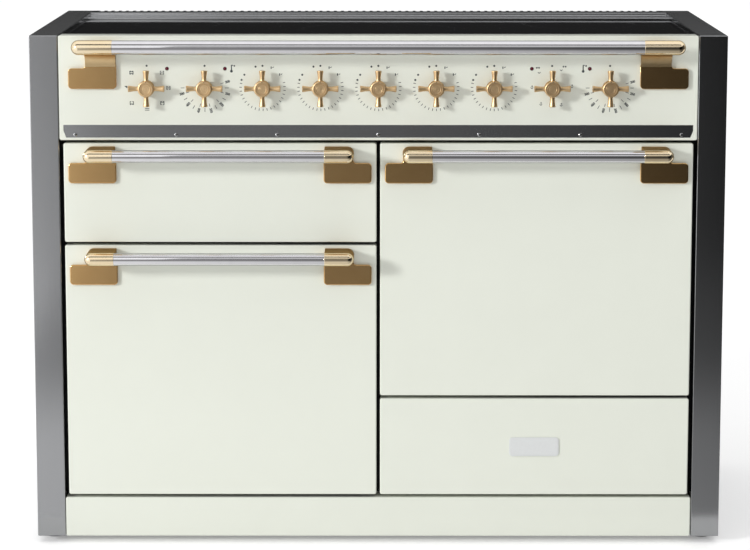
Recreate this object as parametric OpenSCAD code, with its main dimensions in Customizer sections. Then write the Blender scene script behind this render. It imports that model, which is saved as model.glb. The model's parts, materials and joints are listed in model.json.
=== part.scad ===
// Free-standing range cooker: an induction hob over a grill, two ovens and a storage drawer.
// Lengths are in millimetres. The floor is z = 0 and the front looks towards -y.
// The pieces are drawn from the front plane of the doors, then moved so that the origin
// lies under the middle of the whole object, handles included.

/* [Body] */
// Width over both side panels
body_w = 1213; // [1180:1:1400]
// Height from the floor to the top of the side panels
body_h = 905; // [890:1:940]
// Depth of the carcass behind the door fronts
body_d = 610; // [590:1:680]
// Height of the feet under the carcass
foot_h = 12; // [8:0.5:25]
// Front width of each side panel
side_w = 49.7; // [40:0.1:60]
// Thickness of the folded outer sheet
sheet = 1.5; // [1:0.1:2]
// Depth of the folded lips inside the side panels
side_lip = 30; // [20:1:32]
// Height of the plinth under the doors
plinth_h = 71; // [55:1:85]

/* [Front rows] */
// Height of the control panel
panel_h = 182.6; // [176:0.1:200]
// Height of the grill door
grill_door_h = 174.5; // [165:0.5:200]
// Height of the storage drawer's front
drawer_h = 174.2; // [150:0.1:200]
// Gap between a side panel and the doors
side_gap = 7.2; // [4:0.1:10]
// Gap between the left and the right fronts
centre_gap = 6.2; // [4:0.1:10]
// Gap between one front and the next above it
row_gap = 5.4; // [4.5:0.1:7]
// Corner radius of the fronts
corner_r = 3.5; // [2:0.5:4.5]

/* [Doors] */
// Thickness of a closed door, front to back
door_t = 38; // [34:1:44]
// Thickness of the enamelled door skin
skin_t = 1.4; // [1:0.1:1.6]
// Depth of the skin's side returns
skin_d = 26; // [22:1:30]
// Distance of the hinge pin from the door's front and lower edge
pivot_in = 8; // [7.8:0.1:9]
// Radius of the hinge pins
pin_r = 4; // [3:0.1:4.5]
// Running clearance round the pins and shafts
play = 0.05; // [0.03:0.01:0.09]
// Thickness of the hinge leaf inside the door
leaf_t = 4; // [3:0.5:5]
// Height of the hinge leaf inside the door
leaf_h = 90; // [60:1:100]
// Thickness of the fixed hinge blade
blade_t = 6; // [4:0.5:7]
// Height of the hinge receiver's plate
receiver_h = 60; // [40:1:70]

/* [Handles] */
// Diameter of the door bars
bar_dia = 22; // [18:0.5:24]
// Distance of the bar's axis from the door front
bar_out = 52; // [46:1:60]
// Distance of the bar's axis below the door's top edge
bar_drop = 17; // [15:0.5:22]
// Diameter of the brass barrels that hold a door bar
barrel_dia = 24.4; // [24.4:0.1:26]
// Length of a door barrel, without its nose
barrel_l = 39; // [32:1:46]
// Width of a handle's fixing plate
plate_w = 84; // [76:1:90]
// Height of a handle's fixing plate
plate_h = 36; // [30:1:40]
// Thickness of a handle's fixing plate
plate_t = 6; // [5:0.5:8]
// Distance of the fixing plate from the door's side edge
plate_in = 8.5; // [5:0.5:20]
// Width of the arm between plate and barrel
arm_w = 50; // [44:1:56]
// Diameter of the towel rail
rail_dia = 24.5; // [20:0.5:24.5]
// Distance of the rail's axis from the control panel
rail_out = 53; // [48:1:62]
// Distance of the rail's axis below the top of the panel
rail_drop = 16.5; // [15:0.5:18]
// Diameter of the brass barrels that hold the rail
rail_barrel_dia = 27; // [27:0.1:29]
// Length of a rail barrel, without its nose
rail_barrel_l = 58; // [50:1:64]
// Distance of a rail plate from the side panel
rail_plate_in = 18; // [10:0.5:30]
// Height of the swept arm between the rail and its plate
sweep_h = 40; // [36:0.5:44]
// Thickness of that swept arm
sweep_t = 14; // [10:0.5:16]

/* [Control panel] */
// Thickness of the enamelled panel
panel_t = 1.5; // [1.2:0.1:2]
// Depth of the panel's flange beside the hob
panel_top_d = 37; // [32:1:50]
// Distance from the last knob's axis to the side panel
knob_end = 154.4; // [142:0.1:180]
// Height of the knobs above the panel's lower edge
knob_rise = 91.6; // [84:0.1:96]
// Diameter of a knob's hub
hub_dia = 28; // [22:0.5:34]
// Length of a knob's hub
hub_l = 26; // [22:1:30]
// Distance over two opposite arms of a knob
cross_span = 63; // [56:0.5:70]
// Diameter of the arms at the hub
arm_root = 8; // [6:0.5:9]
// Diameter of the arms at their ends
arm_tip = 11; // [9:0.5:13]
// Gap between the knobs and the panel
knob_gap = 1; // [0.6:0.1:2]
// Radius of the knob spindles
spindle_r = 3; // [2.5:0.1:3.5]
// Radius of the indicator lamps
lamp_r = 3.1; // [2.5:0.1:4]
// Height of the lamps above the knob axes
lamp_rise = 33.5; // [31:0.5:38]
// Height of the vent slot in the panel
vent_h = 22.3; // [16:0.1:26]
// Width of cream panel left below the vent slot
vent_lip = 4.6; // [4:0.1:7]

/* [Hob] */
// Step down from the side panels to the glass
glass_drop = 9; // [7:0.5:12]
// Thickness of the glass
glass_t = 5; // [4:0.5:6]
// Depth of the tray under the glass
tray_h = 34; // [30:1:40]
// Depth of the rear vent trim
trim_d = 120; // [100:1:140]
// Distance between the slots of the rear trim
slot_pitch = 14; // [12:0.5:20]

/* [Ovens] */
// Distance from a door's edge to the oven mouth
oven_border = 53; // [50:0.5:58]
// Distance from the grill door's edge to the mouth above and below
grill_border = 35; // [33:0.5:38]
// Space between the doors and the front frame
frame_gap = 8; // [7:0.5:10]
// Thickness of the front frame
frame_t = 2; // [1.5:0.1:3]
// Thickness of the oven liners
liner_t = 1.5; // [1:0.1:2]
// Width of the flange round an oven mouth
flange_w = 15; // [13:0.5:16]
// Space behind the oven liners
back_room = 122; // [110:1:130]
// Thickness of the wool round the ovens
wool_t = 20; // [12:1:24]
// Depth of the fan chamber
fan_room = 46; // [40:1:60]
// Radius of the oven fans
fan_r = 72; // [50:1:85]
// Distance between the shelf runners
runner_pitch = 60; // [50:1:64]
// Distance between the wires of a shelf
wire_pitch = 32; // [24:1:60]

/* [Drawer] */
// Depth of the drawer box
drawer_l = 460; // [400:1:480]
// Space between the drawer front's edge and its box
drawer_border = 30; // [28:1:40]
// Width of the badge plate
badge_w = 88; // [60:1:100]
// Height of the badge plate
badge_h = 34; // [24:1:40]

/* [Hidden] */
$fn = 48;

cream = "#e5e8de";
steel = "#8c8c8e";
zinc = "#a9abab";
enamel = "#3a3c40";
brass = "#b4915a";

rail_barrel_r = rail_barrel_dia / 2;
barrel_r = barrel_dia / 2;
handle_reach = rail_out + rail_barrel_r;
front_y = (handle_reach - body_d) / 2;
inner_half = body_w / 2 - side_w;
wall_half = body_w / 2 - sheet;
door_w = inner_half - side_gap - centre_gap / 2;
col_x = (centre_gap + door_w) / 2;

// Heights of the rows, from the floor up
base_top = foot_h + 2 * sheet;
plinth_top = foot_h + plinth_h;
door_low = plinth_top + row_gap;
panel_low = body_h - panel_h;
door_high = panel_low - row_gap;
grill_low = door_high - grill_door_h;
left_high = grill_low - row_gap;
drawer_high = door_low + drawer_h;
right_low = drawer_high + row_gap;

// Each door: middle, lower edge, upper edge, border above and below its oven mouth
grill_door = [-col_x, grill_low, door_high, grill_border];
left_door = [-col_x, door_low, left_high, oven_border];
right_door = [col_x, right_low, door_high, oven_border];
DOORS = [grill_door, left_door, right_door];
drawer_place = [col_x, door_low, drawer_high, drawer_border];

// Depths, from the front plane back
frame_y = door_t + frame_gap;
oven_back = body_d - back_room;
wool_back = oven_back + liner_t + wool_t;
cover_y = body_d - 2 * sheet;
mouth_half = door_w / 2 - oven_border;
seat_y = frame_y - liner_t;
frame_over = 12;
frame_return = 24;
snug = 0.3;
slip = 0.2;
mouth_in = 2;
fold_r = 0.6;

// Hob levels
glass_top = body_h - glass_drop;
glass_low = glass_top - glass_t;
tray_low = glass_low - tray_h;
trim_y = body_d - trim_d;
glass_under = 14;
lip_d = 62;
lip_rise = 4;
trim_fold = 45;
vent_end = 15;
slot_w = 8;
slot_l = 44;
slot_deep = 18;
hob_back = trim_y + glass_under + snug + sheet;
zone_in = 181.8;
zone_x = inner_half - zone_in;
zone_mid = (panel_top_d + trim_y) / 2;
zone_off = 112;
// Cooking zones: middle across, middle in depth, radius
ZONES = [
    [-zone_x, zone_mid - zone_off, 105], [-zone_x, zone_mid + zone_off, 80],
    [0, zone_mid, 140],
    [zone_x, zone_mid - zone_off, 80], [zone_x, zone_mid + zone_off, 105]
];

// Hinges
eye_r = pin_r + 2;
slot_room = 0.8;
leaf_x = skin_t;
blade_x = leaf_x + leaf_t + 0.5;
blade_half = 5;
receiver_t = 3;
receiver_w = 22;
liner_inset = 28;

// Control panel
panel_half = inner_half - 1;
knob_pitch = (inner_half - knob_end) / 4;
knob_z = panel_low + knob_rise;
lamp_z = knob_z + lamp_rise;
vent_low = panel_low + vent_lip;
vent_half = panel_half - 7;
vent_seat = 3;
vent_cut_w = 4.6;
vent_cut_h = 12;
screw_rise = 5;
screw_end = 20.3;
screw_pitch = (vent_half - screw_end) / 3;
screw_r = 3.4;
stud_r = 1.9;
spindle_in = 14;
spindle_deep = 22;
regulator_d = 34;
regulator_half = 23;
panel_fold = 26;
LAMPS = [-3.65 * knob_pitch, -2.65 * knob_pitch, 2.65 * knob_pitch, 3.65 * knob_pitch];

// Feet
foot_x = body_w / 2 - side_w / 2;
foot_stud = 5;
foot_pad_r = 20;
foot_pad_t = 4;
foot_nut_r = 9;
foot_nut_h = 6;
foot_thread = 18;
tray_rib_x = inner_half - 256.8;
tray_rib_half = 30;
tray_rib_end = 40;
tray_rib_h = 8;
FEET = [for (x = [-foot_x, foot_x], y = [60, body_d - 60]) [x, y]];

// Drawer
box_half = door_w / 2 - drawer_border;
box_low = door_low + 14;
box_high = drawer_high - 20;
rib = 9;
rib_h = 6;
rib_z = box_low + 30;
runner_gap = 0.4;
runner_t = 2;
runner_front = frame_y + frame_t + 4;
runner_back = skin_d + drawer_l + 20;

// Terminal cover on the back
terminal_in = 136.8;
terminal_x = inner_half - terminal_in;
terminal_z = 100;
terminal_w = 120;
terminal_h = 80;
terminal_d = 38;
gland_r = 11;

module from_front() translate([0, front_y, 0]) children();

module block(lo, hi) translate(lo) cube(hi - lo);

// A flat profile drawn in y and z, drawn out along x
module along_x(x0, length) translate([x0, 0, 0]) rotate([90, 0, 90]) linear_extrude(length) children();

module rod_x(r, x0, x1, y, z) translate([x0, y, z]) rotate([0, 90, 0]) cylinder(r = r, h = x1 - x0);

module rod_y(r, x, y0, y1, z) translate([x, y0, z]) rotate([-90, 0, 0]) cylinder(r = r, h = y1 - y0);

module rounded_rect(w, h, r) {
    square([w - 2 * r, h], center = true);
    square([w, h - 2 * r], center = true);
    for (x = [-1, 1], z = [-1, 1]) translate([x * (w / 2 - r), z * (h / 2 - r)]) circle(r);
}

// An upright plate with round corners, between two depths
module upright(cx, low, high, w, y0, y1, r)
    translate([cx, y1, (low + high) / 2]) rotate([90, 0, 0]) linear_extrude(y1 - y0)
        rounded_rect(w, high - low, r);

// Carcass

module side_panel(side) {
    inner = inner_half;
    difference() {
        block([inner, 0, foot_h], [body_w / 2, body_d, body_h]);
        block([inner - 1, sheet, foot_h + sheet], [wall_half, body_d - sheet, body_h - sheet]);
        for (f = FEET) translate([abs(f.x), f.y, foot_h - 1]) cylinder(r = foot_stud + 0.5, h = 4);
    }
    block([inner, 0, foot_h], [inner + sheet, side_lip, body_h]);
    block([inner, 0, body_h - side_lip], [inner + sheet, body_d, body_h]);
}

module side_panel_left() color(steel) from_front() mirror([1, 0, 0]) side_panel();

module side_panel_right() color(steel) from_front() side_panel();

module back_cover() color(zinc) from_front() difference() {
    block([-inner_half - 15, cover_y, foot_h + sheet],
              [inner_half + 15, cover_y + sheet, body_h - side_lip]);
    block([terminal_x - terminal_w / 2, cover_y - 1, terminal_z - terminal_h / 2],
          [terminal_x + terminal_w / 2, body_d, terminal_z + terminal_h / 2]);
    for (x = [-col_x, col_x], row = [0 : 9])
        block([x - 110, cover_y - 1, 560 + 22 * row], [x + 110, body_d, 568 + 22 * row]);
}

module base_tray() color(zinc) from_front() difference() {
    union() {
        block([-wall_half, frame_y, foot_h + sheet], [wall_half, cover_y, base_top]);
        for (x = [-tray_rib_x, tray_rib_x])
            block([x - tray_rib_half, frame_y + tray_rib_end, base_top - sheet],
                  [x + tray_rib_half, cover_y - tray_rib_end, base_top + tray_rib_h]);
    }
    for (f = FEET) translate([f.x, f.y, foot_h - 1]) cylinder(r = foot_stud + 0.5, h = 6);
}

module levelling_feet() color("#2b2b2d") from_front() for (f = FEET) translate([f.x, f.y, 0]) {
    cylinder(r = foot_pad_r, h = foot_pad_t);
    cylinder(r = foot_stud, h = base_top + foot_thread);
    cylinder(r = foot_nut_r, h = foot_h);
    translate([0, 0, base_top]) cylinder(r = foot_nut_r, h = foot_nut_h);
}

module mouth_hole(place, room)
    block([place.x - mouth_half - room, 0, place[1] + place[3] - room],
          [place.x + mouth_half + room, oven_back, place[2] - place[3] + room]);

module front_frame() color("#2f3032") from_front() difference() {
    top = panel_low + frame_over;
    union() {
        block([-wall_half, frame_y, base_top], [wall_half, frame_y + frame_t, top]);
        for (x = [-1, 1]) translate([x * (wall_half - sheet / 2) - sheet / 2, frame_y, base_top])
            cube([sheet, frame_return, top - base_top]);
        block([-wall_half, frame_y, top - sheet], [wall_half, frame_y + frame_return, top]);
    }
    for (place = DOORS) mouth_hole(place, liner_t + 0.5);
    block([col_x - box_half - rib - 3, 0, box_low - 4],
          [col_x + box_half + rib + 3, oven_back, box_high + 6]);
}

module plinth() color(cream) from_front() difference() {
    upright(0, foot_h, plinth_top, 2 * panel_half, 0, frame_y, 3);
    block([-panel_half + skin_t, skin_t, foot_h + skin_t],
          [panel_half - skin_t, frame_y + 1, plinth_top - skin_t]);
}

// Hob

module hob_frame() color(steel) from_front() {
    y0 = panel_top_d;
    seat = 14;
    difference() {
        block([-inner_half, y0, tray_low], [inner_half, hob_back, glass_top - 0.5]);
        block([-inner_half + sheet, y0 + sheet, glass_low],
              [inner_half - sheet, hob_back - sheet, body_h]);
        block([-inner_half + seat, y0 + seat, tray_low + sheet],
              [inner_half - seat, hob_back - seat, body_h]);
        block([-inner_half + sheet, y0 + sheet, tray_low + sheet],
              [inner_half - sheet, hob_back - sheet, glass_low - sheet]);
    }
}

module hob_glass() color("#1b1b1d") from_front()
    block([-inner_half + sheet + snug, panel_top_d + sheet + snug, glass_low],
          [inner_half - sheet - snug, trim_y + glass_under, glass_top]);

module rear_vent() color(steel) from_front() {
    slots = floor((2 * inner_half - 2 * vent_end) / slot_pitch);
    difference() {
        along_x(-inner_half, 2 * inner_half) {
            translate([trim_y, glass_top]) square([sheet, lip_rise]);
            translate([trim_y, glass_top + lip_rise - sheet]) square([lip_d + sheet, sheet]);
            translate([trim_y + lip_d, glass_top + lip_rise - sheet])
                square([sheet, glass_drop - lip_rise + sheet]);
            translate([trim_y + lip_d, body_h - sheet]) square([trim_d - lip_d, sheet]);
            translate([body_d - sheet, body_h - trim_fold]) square([sheet, trim_fold]);
        }
        for (n = [0 : slots])
            block([(n - slots / 2) * slot_pitch - slot_w / 2, body_d - slot_l, body_h - slot_deep],
                  [(n - slots / 2) * slot_pitch + slot_w / 2, body_d + 1, body_h + 1]);
    }
}

module induction_coils() color("#7a4a2c") from_front() for (zone = ZONES)
    translate([zone.x, zone.y, tray_low + sheet]) difference() {
        union() {
            cylinder(r = zone[2], h = 6);
            cylinder(r = zone[2] - 5, h = tray_h - sheet - 8);
        }
        translate([0, 0, 6]) cylinder(r = 22, h = tray_h);
    }

// Control panel

module control_panel() color(cream) from_front() difference() {
    union() {
        difference() {
            upright(0, panel_low, body_h, 2 * panel_half, 0, panel_top_d, corner_r);
            block([-panel_half + panel_t, panel_t, panel_low + panel_t],
                  [panel_half - panel_t, panel_top_d + 1, body_h - panel_t]);
            block([-panel_half - 1, panel_fold, panel_low - 1],
                  [panel_half + 1, panel_top_d + 1, body_h - panel_t]);
        }
        block([-panel_half + panel_t, panel_top_d - panel_t, body_h - 14],
              [panel_half - panel_t, panel_top_d, body_h - panel_t / 2]);
    }
    for (n = [0 : 8]) rod_y(spindle_r + 2, (n - 4) * knob_pitch, -1, panel_t + 1, knob_z);
    for (x = LAMPS) rod_y(lamp_r + 0.2, x, -1, panel_t + 1, lamp_z);
    vent_slot();
}

// The slot for the vent strip, with its lower corners cut off
module vent_slot() translate([0, panel_t + 1, vent_low]) rotate([90, 0, 0]) linear_extrude(panel_t + 2)
    polygon([
        [-vent_half, vent_h], [-vent_half, vent_cut_h], [-vent_half + vent_cut_w, 0],
        [vent_half - vent_cut_w, 0], [vent_half, vent_cut_h], [vent_half, vent_h]
    ]);

module vent_strip() color(steel) from_front() difference() {
    block([-vent_half - 4, panel_t, vent_low - vent_seat],
          [vent_half + 4, 2 * panel_t, vent_low + vent_h + vent_seat]);
    for (n = [-3 : 3]) rod_y(stud_r + 0.1, n * screw_pitch, 0, 3 * panel_t, vent_low + screw_rise);
}

module panel_screws() color(steel) from_front() for (n = [-3 : 3]) {
    rod_y(screw_r, n * screw_pitch, -0.5, panel_t, vent_low + screw_rise);
    rod_y(stud_r, n * screw_pitch, panel_t - 0.1, panel_t + 9, vent_low + screw_rise);
}

module indicator_lamps() color("#5a0f16") from_front() for (x = LAMPS) {
    rod_y(lamp_r, x, -1.4, panel_t + 10, lamp_z);
    rod_y(lamp_r + 2, x, panel_t, panel_t + 2, lamp_z);
}

module regulators() color("#202124") from_front() for (n = [0 : 8])
    translate([(n - 4) * knob_pitch, panel_t, knob_z]) difference() {
        union() {
            block([-regulator_half, 0, -regulator_half], [regulator_half, regulator_d - 6, regulator_half]);
            rod_y(16, 0, 0, regulator_d, 0);
        }
        rod_y(spindle_r + play, 0, -1, spindle_deep, 0);
    }

// The spindle's flat keeps the knob from turning on it
module d_shaft(r, y0, y1) difference() {
    rod_y(r, 0, y0, y1, 0);
    block([-r - 1, y0 - 1, r * 0.6], [r + 1, y1 + 1, r + 1]);
}

module knob(n) color(brass) from_front() translate([(n - 5) * knob_pitch, 0, knob_z]) {
    back = -knob_gap;
    mid = back - hub_l / 2 - 3;
    arm = cross_span / 2;
    difference() {
        union() {
            rod_y(hub_dia / 2, 0, back - hub_l, back - 6, 0);
            rod_y(hub_dia / 2 - 4, 0, back - 8, back, 0);
            for (a = [0 : 90 : 270]) rotate([0, a, 0]) translate([0, mid, 0])
                cylinder(r1 = arm_root / 2 - 1, r2 = arm_tip / 2, h = arm);
        }
        d_shaft(spindle_r + slip, back - spindle_in, back + 1);
    }
    difference() {
        rod_y(spindle_r, 0, back - spindle_in + snug, spindle_deep - 1, 0);
        block([-10, back - spindle_in, spindle_r * 0.6 - slip], [10, back + snug, 10]);
    }
}

module knob_1() knob(1);
module knob_2() knob(2);
module knob_3() knob(3);
module knob_4() knob(4);
module knob_5() knob(5);
module knob_6() knob(6);
module knob_7() knob(7);
module knob_8() knob(8);
module knob_9() knob(9);

// Handles

// A barrel with a round nose at its outer end, and a blind hole for the bar
module barrel(r, bore, x_nose, x_inner) translate([x_nose, 0, 0]) rotate([0, 90, 0])
    rotate_extrude() difference() {
        union() {
            square([r, x_inner - x_nose]);
            intersection() {
                circle(r);
                translate([0, -r]) square([r, r]);
            }
        }
        square([bore, x_inner - x_nose + 1]);
    }

module rail_bracket() {
    inner = -inner_half + rail_plate_in + plate_w;
    turn = [-plate_t - (sweep_h - rail_barrel_r), -sweep_h];
    sweep_r = sweep_h - rail_barrel_r;
    mouth = inner - mouth_in;
    translate([0, -rail_out, 0]) barrel(rail_barrel_r, rail_dia / 2 + slip, mouth - rail_barrel_l, mouth);
    difference() {
        along_x(inner - arm_w - 5, arm_w + 5) {
            difference() {
                intersection() {
                    translate(turn) circle(sweep_r + sweep_t, $fn = 96);
                    translate([turn.x, turn.y]) square([-turn.x, sweep_h + rail_barrel_r]);
                }
                translate(turn) circle(sweep_r, $fn = 96);
            }
            translate([-rail_out, -rail_barrel_r]) square([turn.x + rail_out, sweep_t]);
            translate([-plate_t, -sweep_h - 3]) square([plate_t, 12]);
        }
        rod_x(rail_dia / 2 + slip, mouth - rail_barrel_l, inner + 1, -rail_out, 0);
    }
    upright(inner - plate_w / 2, -sweep_h - plate_h, -sweep_h, plate_w, -plate_t, 0, 4);
}

rail_z = body_h - rail_drop;

module rail_brackets() color(brass) from_front() translate([0, 0, rail_z]) for (m = [0, 1])
    mirror([m, 0, 0]) rail_bracket();

module rail_tube() color("#d8d9dc") from_front()
    rod_x(rail_dia / 2, -rail_half, rail_half, -rail_out, rail_z);

rail_half = inner_half - rail_plate_in - plate_w + mouth_in + rail_barrel_l - 4;

// The arm runs back from the whole barrel, its end as round as the nose
module door_bracket() {
    inner = -door_w / 2 + plate_in + plate_w;
    mouth = inner - mouth_in;
    below = bar_drop;
    root = 5;
    translate([0, -bar_out, 0]) barrel(barrel_r, bar_dia / 2 + slip, mouth - barrel_l, mouth);
    difference() {
        union() {
            along_x(mouth - barrel_l, barrel_l) {
                translate([-bar_out, -barrel_r]) square([bar_out, 2 * barrel_r]);
                translate([-plate_t, -below - 3]) square([plate_t, below]);
                difference() {
                    translate([-plate_t - root, -barrel_r - root]) square([root + 1, root + 1]);
                    translate([-plate_t - root, -barrel_r - root]) circle(root);
                }
            }
            rod_y(barrel_r - 0.3, mouth - barrel_l, -bar_out, 0, 0);
        }
        rod_x(barrel_r - 1, mouth - barrel_l, inner + 1, -bar_out, 0);
    }
    upright(inner - plate_w / 2, -below - plate_h, -below, plate_w, -plate_t, 0, 4);
}

module at_bar(door) translate([door.x, 0, door[2] - bar_drop]) children();

module handle_brackets(door) color(brass) from_front() at_bar(door) for (m = [0, 1])
    mirror([m, 0, 0]) door_bracket();

bar_half = door_w / 2 - plate_in - plate_w + mouth_in + barrel_l - 4;

module handle_bar(door) color("#d8d9dc") from_front() at_bar(door)
    rod_x(bar_dia / 2, -bar_half, bar_half, -bar_out, 0);

// Doors

// Room for the fixed blade, which sweeps from behind the pin to below it
module blade_room(door) for (m = [0, 1]) translate([door.x, 0, door[1]]) mirror([m, 0, 0])
    block([-door_w / 2 + blade_x - slot_room, pivot_in - blade_half - slot_room, -1],
          [-door_w / 2 + blade_x + blade_t + slot_room, door_t + 1, pivot_in + blade_half + slot_room]);

module skin(door) color(cream) from_front() difference() {
    upright(door.x, door[1], door[2], door_w, 0, skin_d, corner_r);
    upright(door.x, door[1] + skin_t, door[2] - skin_t, door_w - 2 * skin_t, skin_t, skin_d + 1, fold_r);
    blade_room(door);
}

module door_liner(door) color(enamel) from_front() {
    rim = skin_t / 2;
    difference() {
        union() {
            upright(door.x, door[1] + rim, door[2] - rim, door_w - 2 * rim,
                    skin_d, skin_d + skin_t, corner_r);
            upright(door.x, door[1] + liner_inset, door[2] - liner_inset, door_w - 2 * liner_inset,
                    skin_d, door_t, 12);
        }
        upright(door.x, door[1] + liner_inset + skin_t, door[2] - liner_inset - skin_t,
                door_w - 2 * liner_inset - 2 * skin_t, skin_d - 1, door_t - skin_t, 11);
        blade_room(door);
    }
}

// The leaf stands against the skin's side return, with its eye round the fixed pin
module door_hinges(door) color(zinc) from_front() for (m = [0, 1])
    translate([door.x, 0, door[1] + pivot_in]) mirror([m, 0, 0]) {
        x0 = -door_w / 2 + leaf_x;
        difference() {
            union() {
                rod_x(eye_r, x0, x0 + leaf_t, pivot_in, 0);
                block([x0, pivot_in - eye_r, 0], [x0 + leaf_t, pivot_in + eye_r, leaf_h]);
                block([x0, skin_d - 8, leaf_h - 30], [x0 + leaf_t, skin_d, leaf_h]);
                block([x0, pivot_in, leaf_h - 30], [x0 + leaf_t, skin_d, leaf_h]);
            }
            rod_x(pin_r + play, x0 - 1, x0 + leaf_t + 1, pivot_in, 0);
        }
    }

module hinge_receivers() color(zinc) from_front() for (door = DOORS, m = [0, 1])
    translate([door.x, 0, door[1] + pivot_in]) mirror([m, 0, 0]) {
        x0 = -door_w / 2 + blade_x;
        rod_x(eye_r - 0.5, x0, x0 + blade_t, pivot_in, 0);
        rod_x(pin_r, x0 - leaf_t - 0.2, x0 + 1, pivot_in, 0);
        block([x0, pivot_in, -blade_half], [x0 + blade_t, frame_y, blade_half]);
        block([x0 - 2, frame_y - receiver_t, -7], [x0 - 2 + receiver_w, frame_y, receiver_h - 7]);
    }

module grill_door_skin() skin(grill_door);
module grill_door_liner() door_liner(grill_door);
module grill_door_hinges() door_hinges(grill_door);
module grill_handle_bar() handle_bar(grill_door);
module grill_handle_brackets() handle_brackets(grill_door);

module left_door_skin() skin(left_door);
module left_door_liner() door_liner(left_door);
module left_door_hinges() door_hinges(left_door);
module left_handle_bar() handle_bar(left_door);
module left_handle_brackets() handle_brackets(left_door);

module right_door_skin() skin(right_door);
module right_door_liner() door_liner(right_door);
module right_door_hinges() door_hinges(right_door);
module right_handle_bar() handle_bar(right_door);
module right_handle_brackets() handle_brackets(right_door);

// Ovens

fan_z = function(door) (door[1] + door[2]) / 2;

module liner(door, has_fan) {
    low = door[1] + door[3];
    high = door[2] - door[3];
    difference() {
        union() {
            block([door.x - mouth_half - liner_t, seat_y, low - liner_t],
                  [door.x + mouth_half + liner_t, oven_back + liner_t, high + liner_t]);
            upright(door.x, low - flange_w, high + flange_w, 2 * (mouth_half + flange_w), seat_y, frame_y, 6);
        }
        block([door.x - mouth_half, seat_y - 1, low], [door.x + mouth_half, oven_back, high]);
        if (has_fan) rod_y(6, door.x, oven_back - 1, oven_back + liner_t + 1, fan_z(door));
    }
}

module left_oven_liner() color(enamel) from_front() liner(left_door, true);
module right_oven_liner() color(enamel) from_front() liner(right_door, true);

ledge_w = 16;
pan_play = 3;
pan_deep = 28;
rack_bar = 6;
rack_up = 12;
pan_wire_pitch = 30;
ledge_z = grill_low + grill_border + 34;

module grill_liner() color(enamel) from_front() {
    liner(grill_door, false);
    for (m = [-1, 1]) translate([-col_x + m * (mouth_half - ledge_w / 2), seat_y + 20, ledge_z - 2])
        translate([-ledge_w / 2, 0, 0]) cube([ledge_w, oven_back - seat_y - 40, 2]);
}

module oven_wool() color("#c9c4a8") from_front() for (door = DOORS) difference() {
    room = liner_t + wool_t;
    block([door.x - mouth_half - room, frame_y + frame_t, door[1] + door[3] - room],
          [door.x + mouth_half + room, wool_back, door[2] - door[3] + room]);
    block([door.x - mouth_half - liner_t, frame_y, door[1] + door[3] - liner_t],
          [door.x + mouth_half + liner_t, oven_back + liner_t, door[2] - door[3] + liner_t]);
    if (door != grill_door) rod_y(6, door.x, oven_back, wool_back + 1, fan_z(door));
}

module oven_seals() color("#3c3d3f") from_front() for (door = DOORS) {
    low = door[1] + door[3];
    high = door[2] - door[3];
    near = 2;
    wide = 9;
    difference() {
        upright(door.x, low - near - wide, high + near + wide, 2 * (mouth_half + near + wide),
                door_t + snug, seat_y, 11);
        upright(door.x, low - near, high + near, 2 * (mouth_half + near), door_t - 1, seat_y + 1, 4);
    }
}

rack_front = frame_y + 22;
rack_back = oven_back - fan_room - 14;

// Runners up each side wall, and two wire shelves on them
module oven_racks() color("#c4c6c9") from_front() for (door = [left_door, right_door]) {
    low = door[1] + door[3];
    count = floor((door[2] - door[3] - low - 60) / runner_pitch);
    ledge = 13;
    for (m = [-1, 1]) translate([door.x, 0, 0]) mirror([m < 0 ? 0 : 1, 0, 0]) translate([-mouth_half, 0, 0]) {
        for (y = [rack_front + 30, rack_back - 42])
            block([0, y, low + 20], [2, y + 12, low + 50 + runner_pitch * count]);
        for (n = [0 : count - 1]) translate([0, 0, low + 50 + runner_pitch * n]) {
            block([0, rack_front, -1.5], [ledge, rack_back, 0]);
            block([ledge - 1.5, rack_front, -6], [ledge, rack_back, 0]);
        }
    }
    for (n = [1, 3]) translate([door.x, 0, low + 50 + runner_pitch * n + snug]) shelf();
}

module shelf() {
    half = mouth_half - 4;
    bar = 7;
    wires = floor((2 * half - 2 * bar) / wire_pitch);
    difference() {
        block([-half, rack_front + 4, 0], [half, rack_back - 4, bar]);
        block([-half + bar, rack_front + 4 + bar, -1], [half - bar, rack_back - 4 - bar, bar + 1]);
    }
    for (n = [0 : wires - 1])
        rod_y(2.5, (n - (wires - 1) / 2) * wire_pitch, rack_front + 8, rack_back - 8, bar / 2);
}

module fan_covers() color(enamel) from_front() for (door = [left_door, right_door])
    translate([door.x, oven_back - fan_room, fan_z(door)]) difference() {
        half = 130;
        tall = 110;
        upright(0, -tall, tall, 2 * half, 0, fan_room, 14);
        upright(0, -tall + liner_t, tall - liner_t, 2 * half - 2 * liner_t, liner_t, fan_room + 1, 13);
        for (a = [0 : 30 : 330], r = [22, 44]) rotate([0, a, 0]) rod_y(4.5, r, -1, liner_t + 1, 0);
        for (x = [-1, 1], z = [-60 : 24 : 60])
            block([x * (half - 18) - 8, -1, z - 4], [x * (half - 18) + 8, liner_t + 1, z + 4]);
    }

shaft_r = 4;
shaft_in = 24;
motor_r = 34;
motor_l = 46;
strap_half = 48;
strap_w = 24;
strap_t = 3;

module fan(door) color("#b9bbbd") from_front() translate([door.x, 0, fan_z(door)]) {
    back = oven_back - 8;
    rod_y(shaft_r, 0, back - 22, wool_back + shaft_in, 0);
    rod_y(10, 0, back - 24, back - 4, 0);
    rod_y(fan_r, 0, back - 2, back, 0);
    rod_y(9, 0, back - 6, back - 1, 0);
    for (a = [0 : 30 : 330]) rotate([0, a, 0]) block([fan_r - 32, back - 26, -1], [fan_r - 2, back - 1, 1]);
}

module left_fan() fan(left_door);
module right_fan() fan(right_door);

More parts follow.
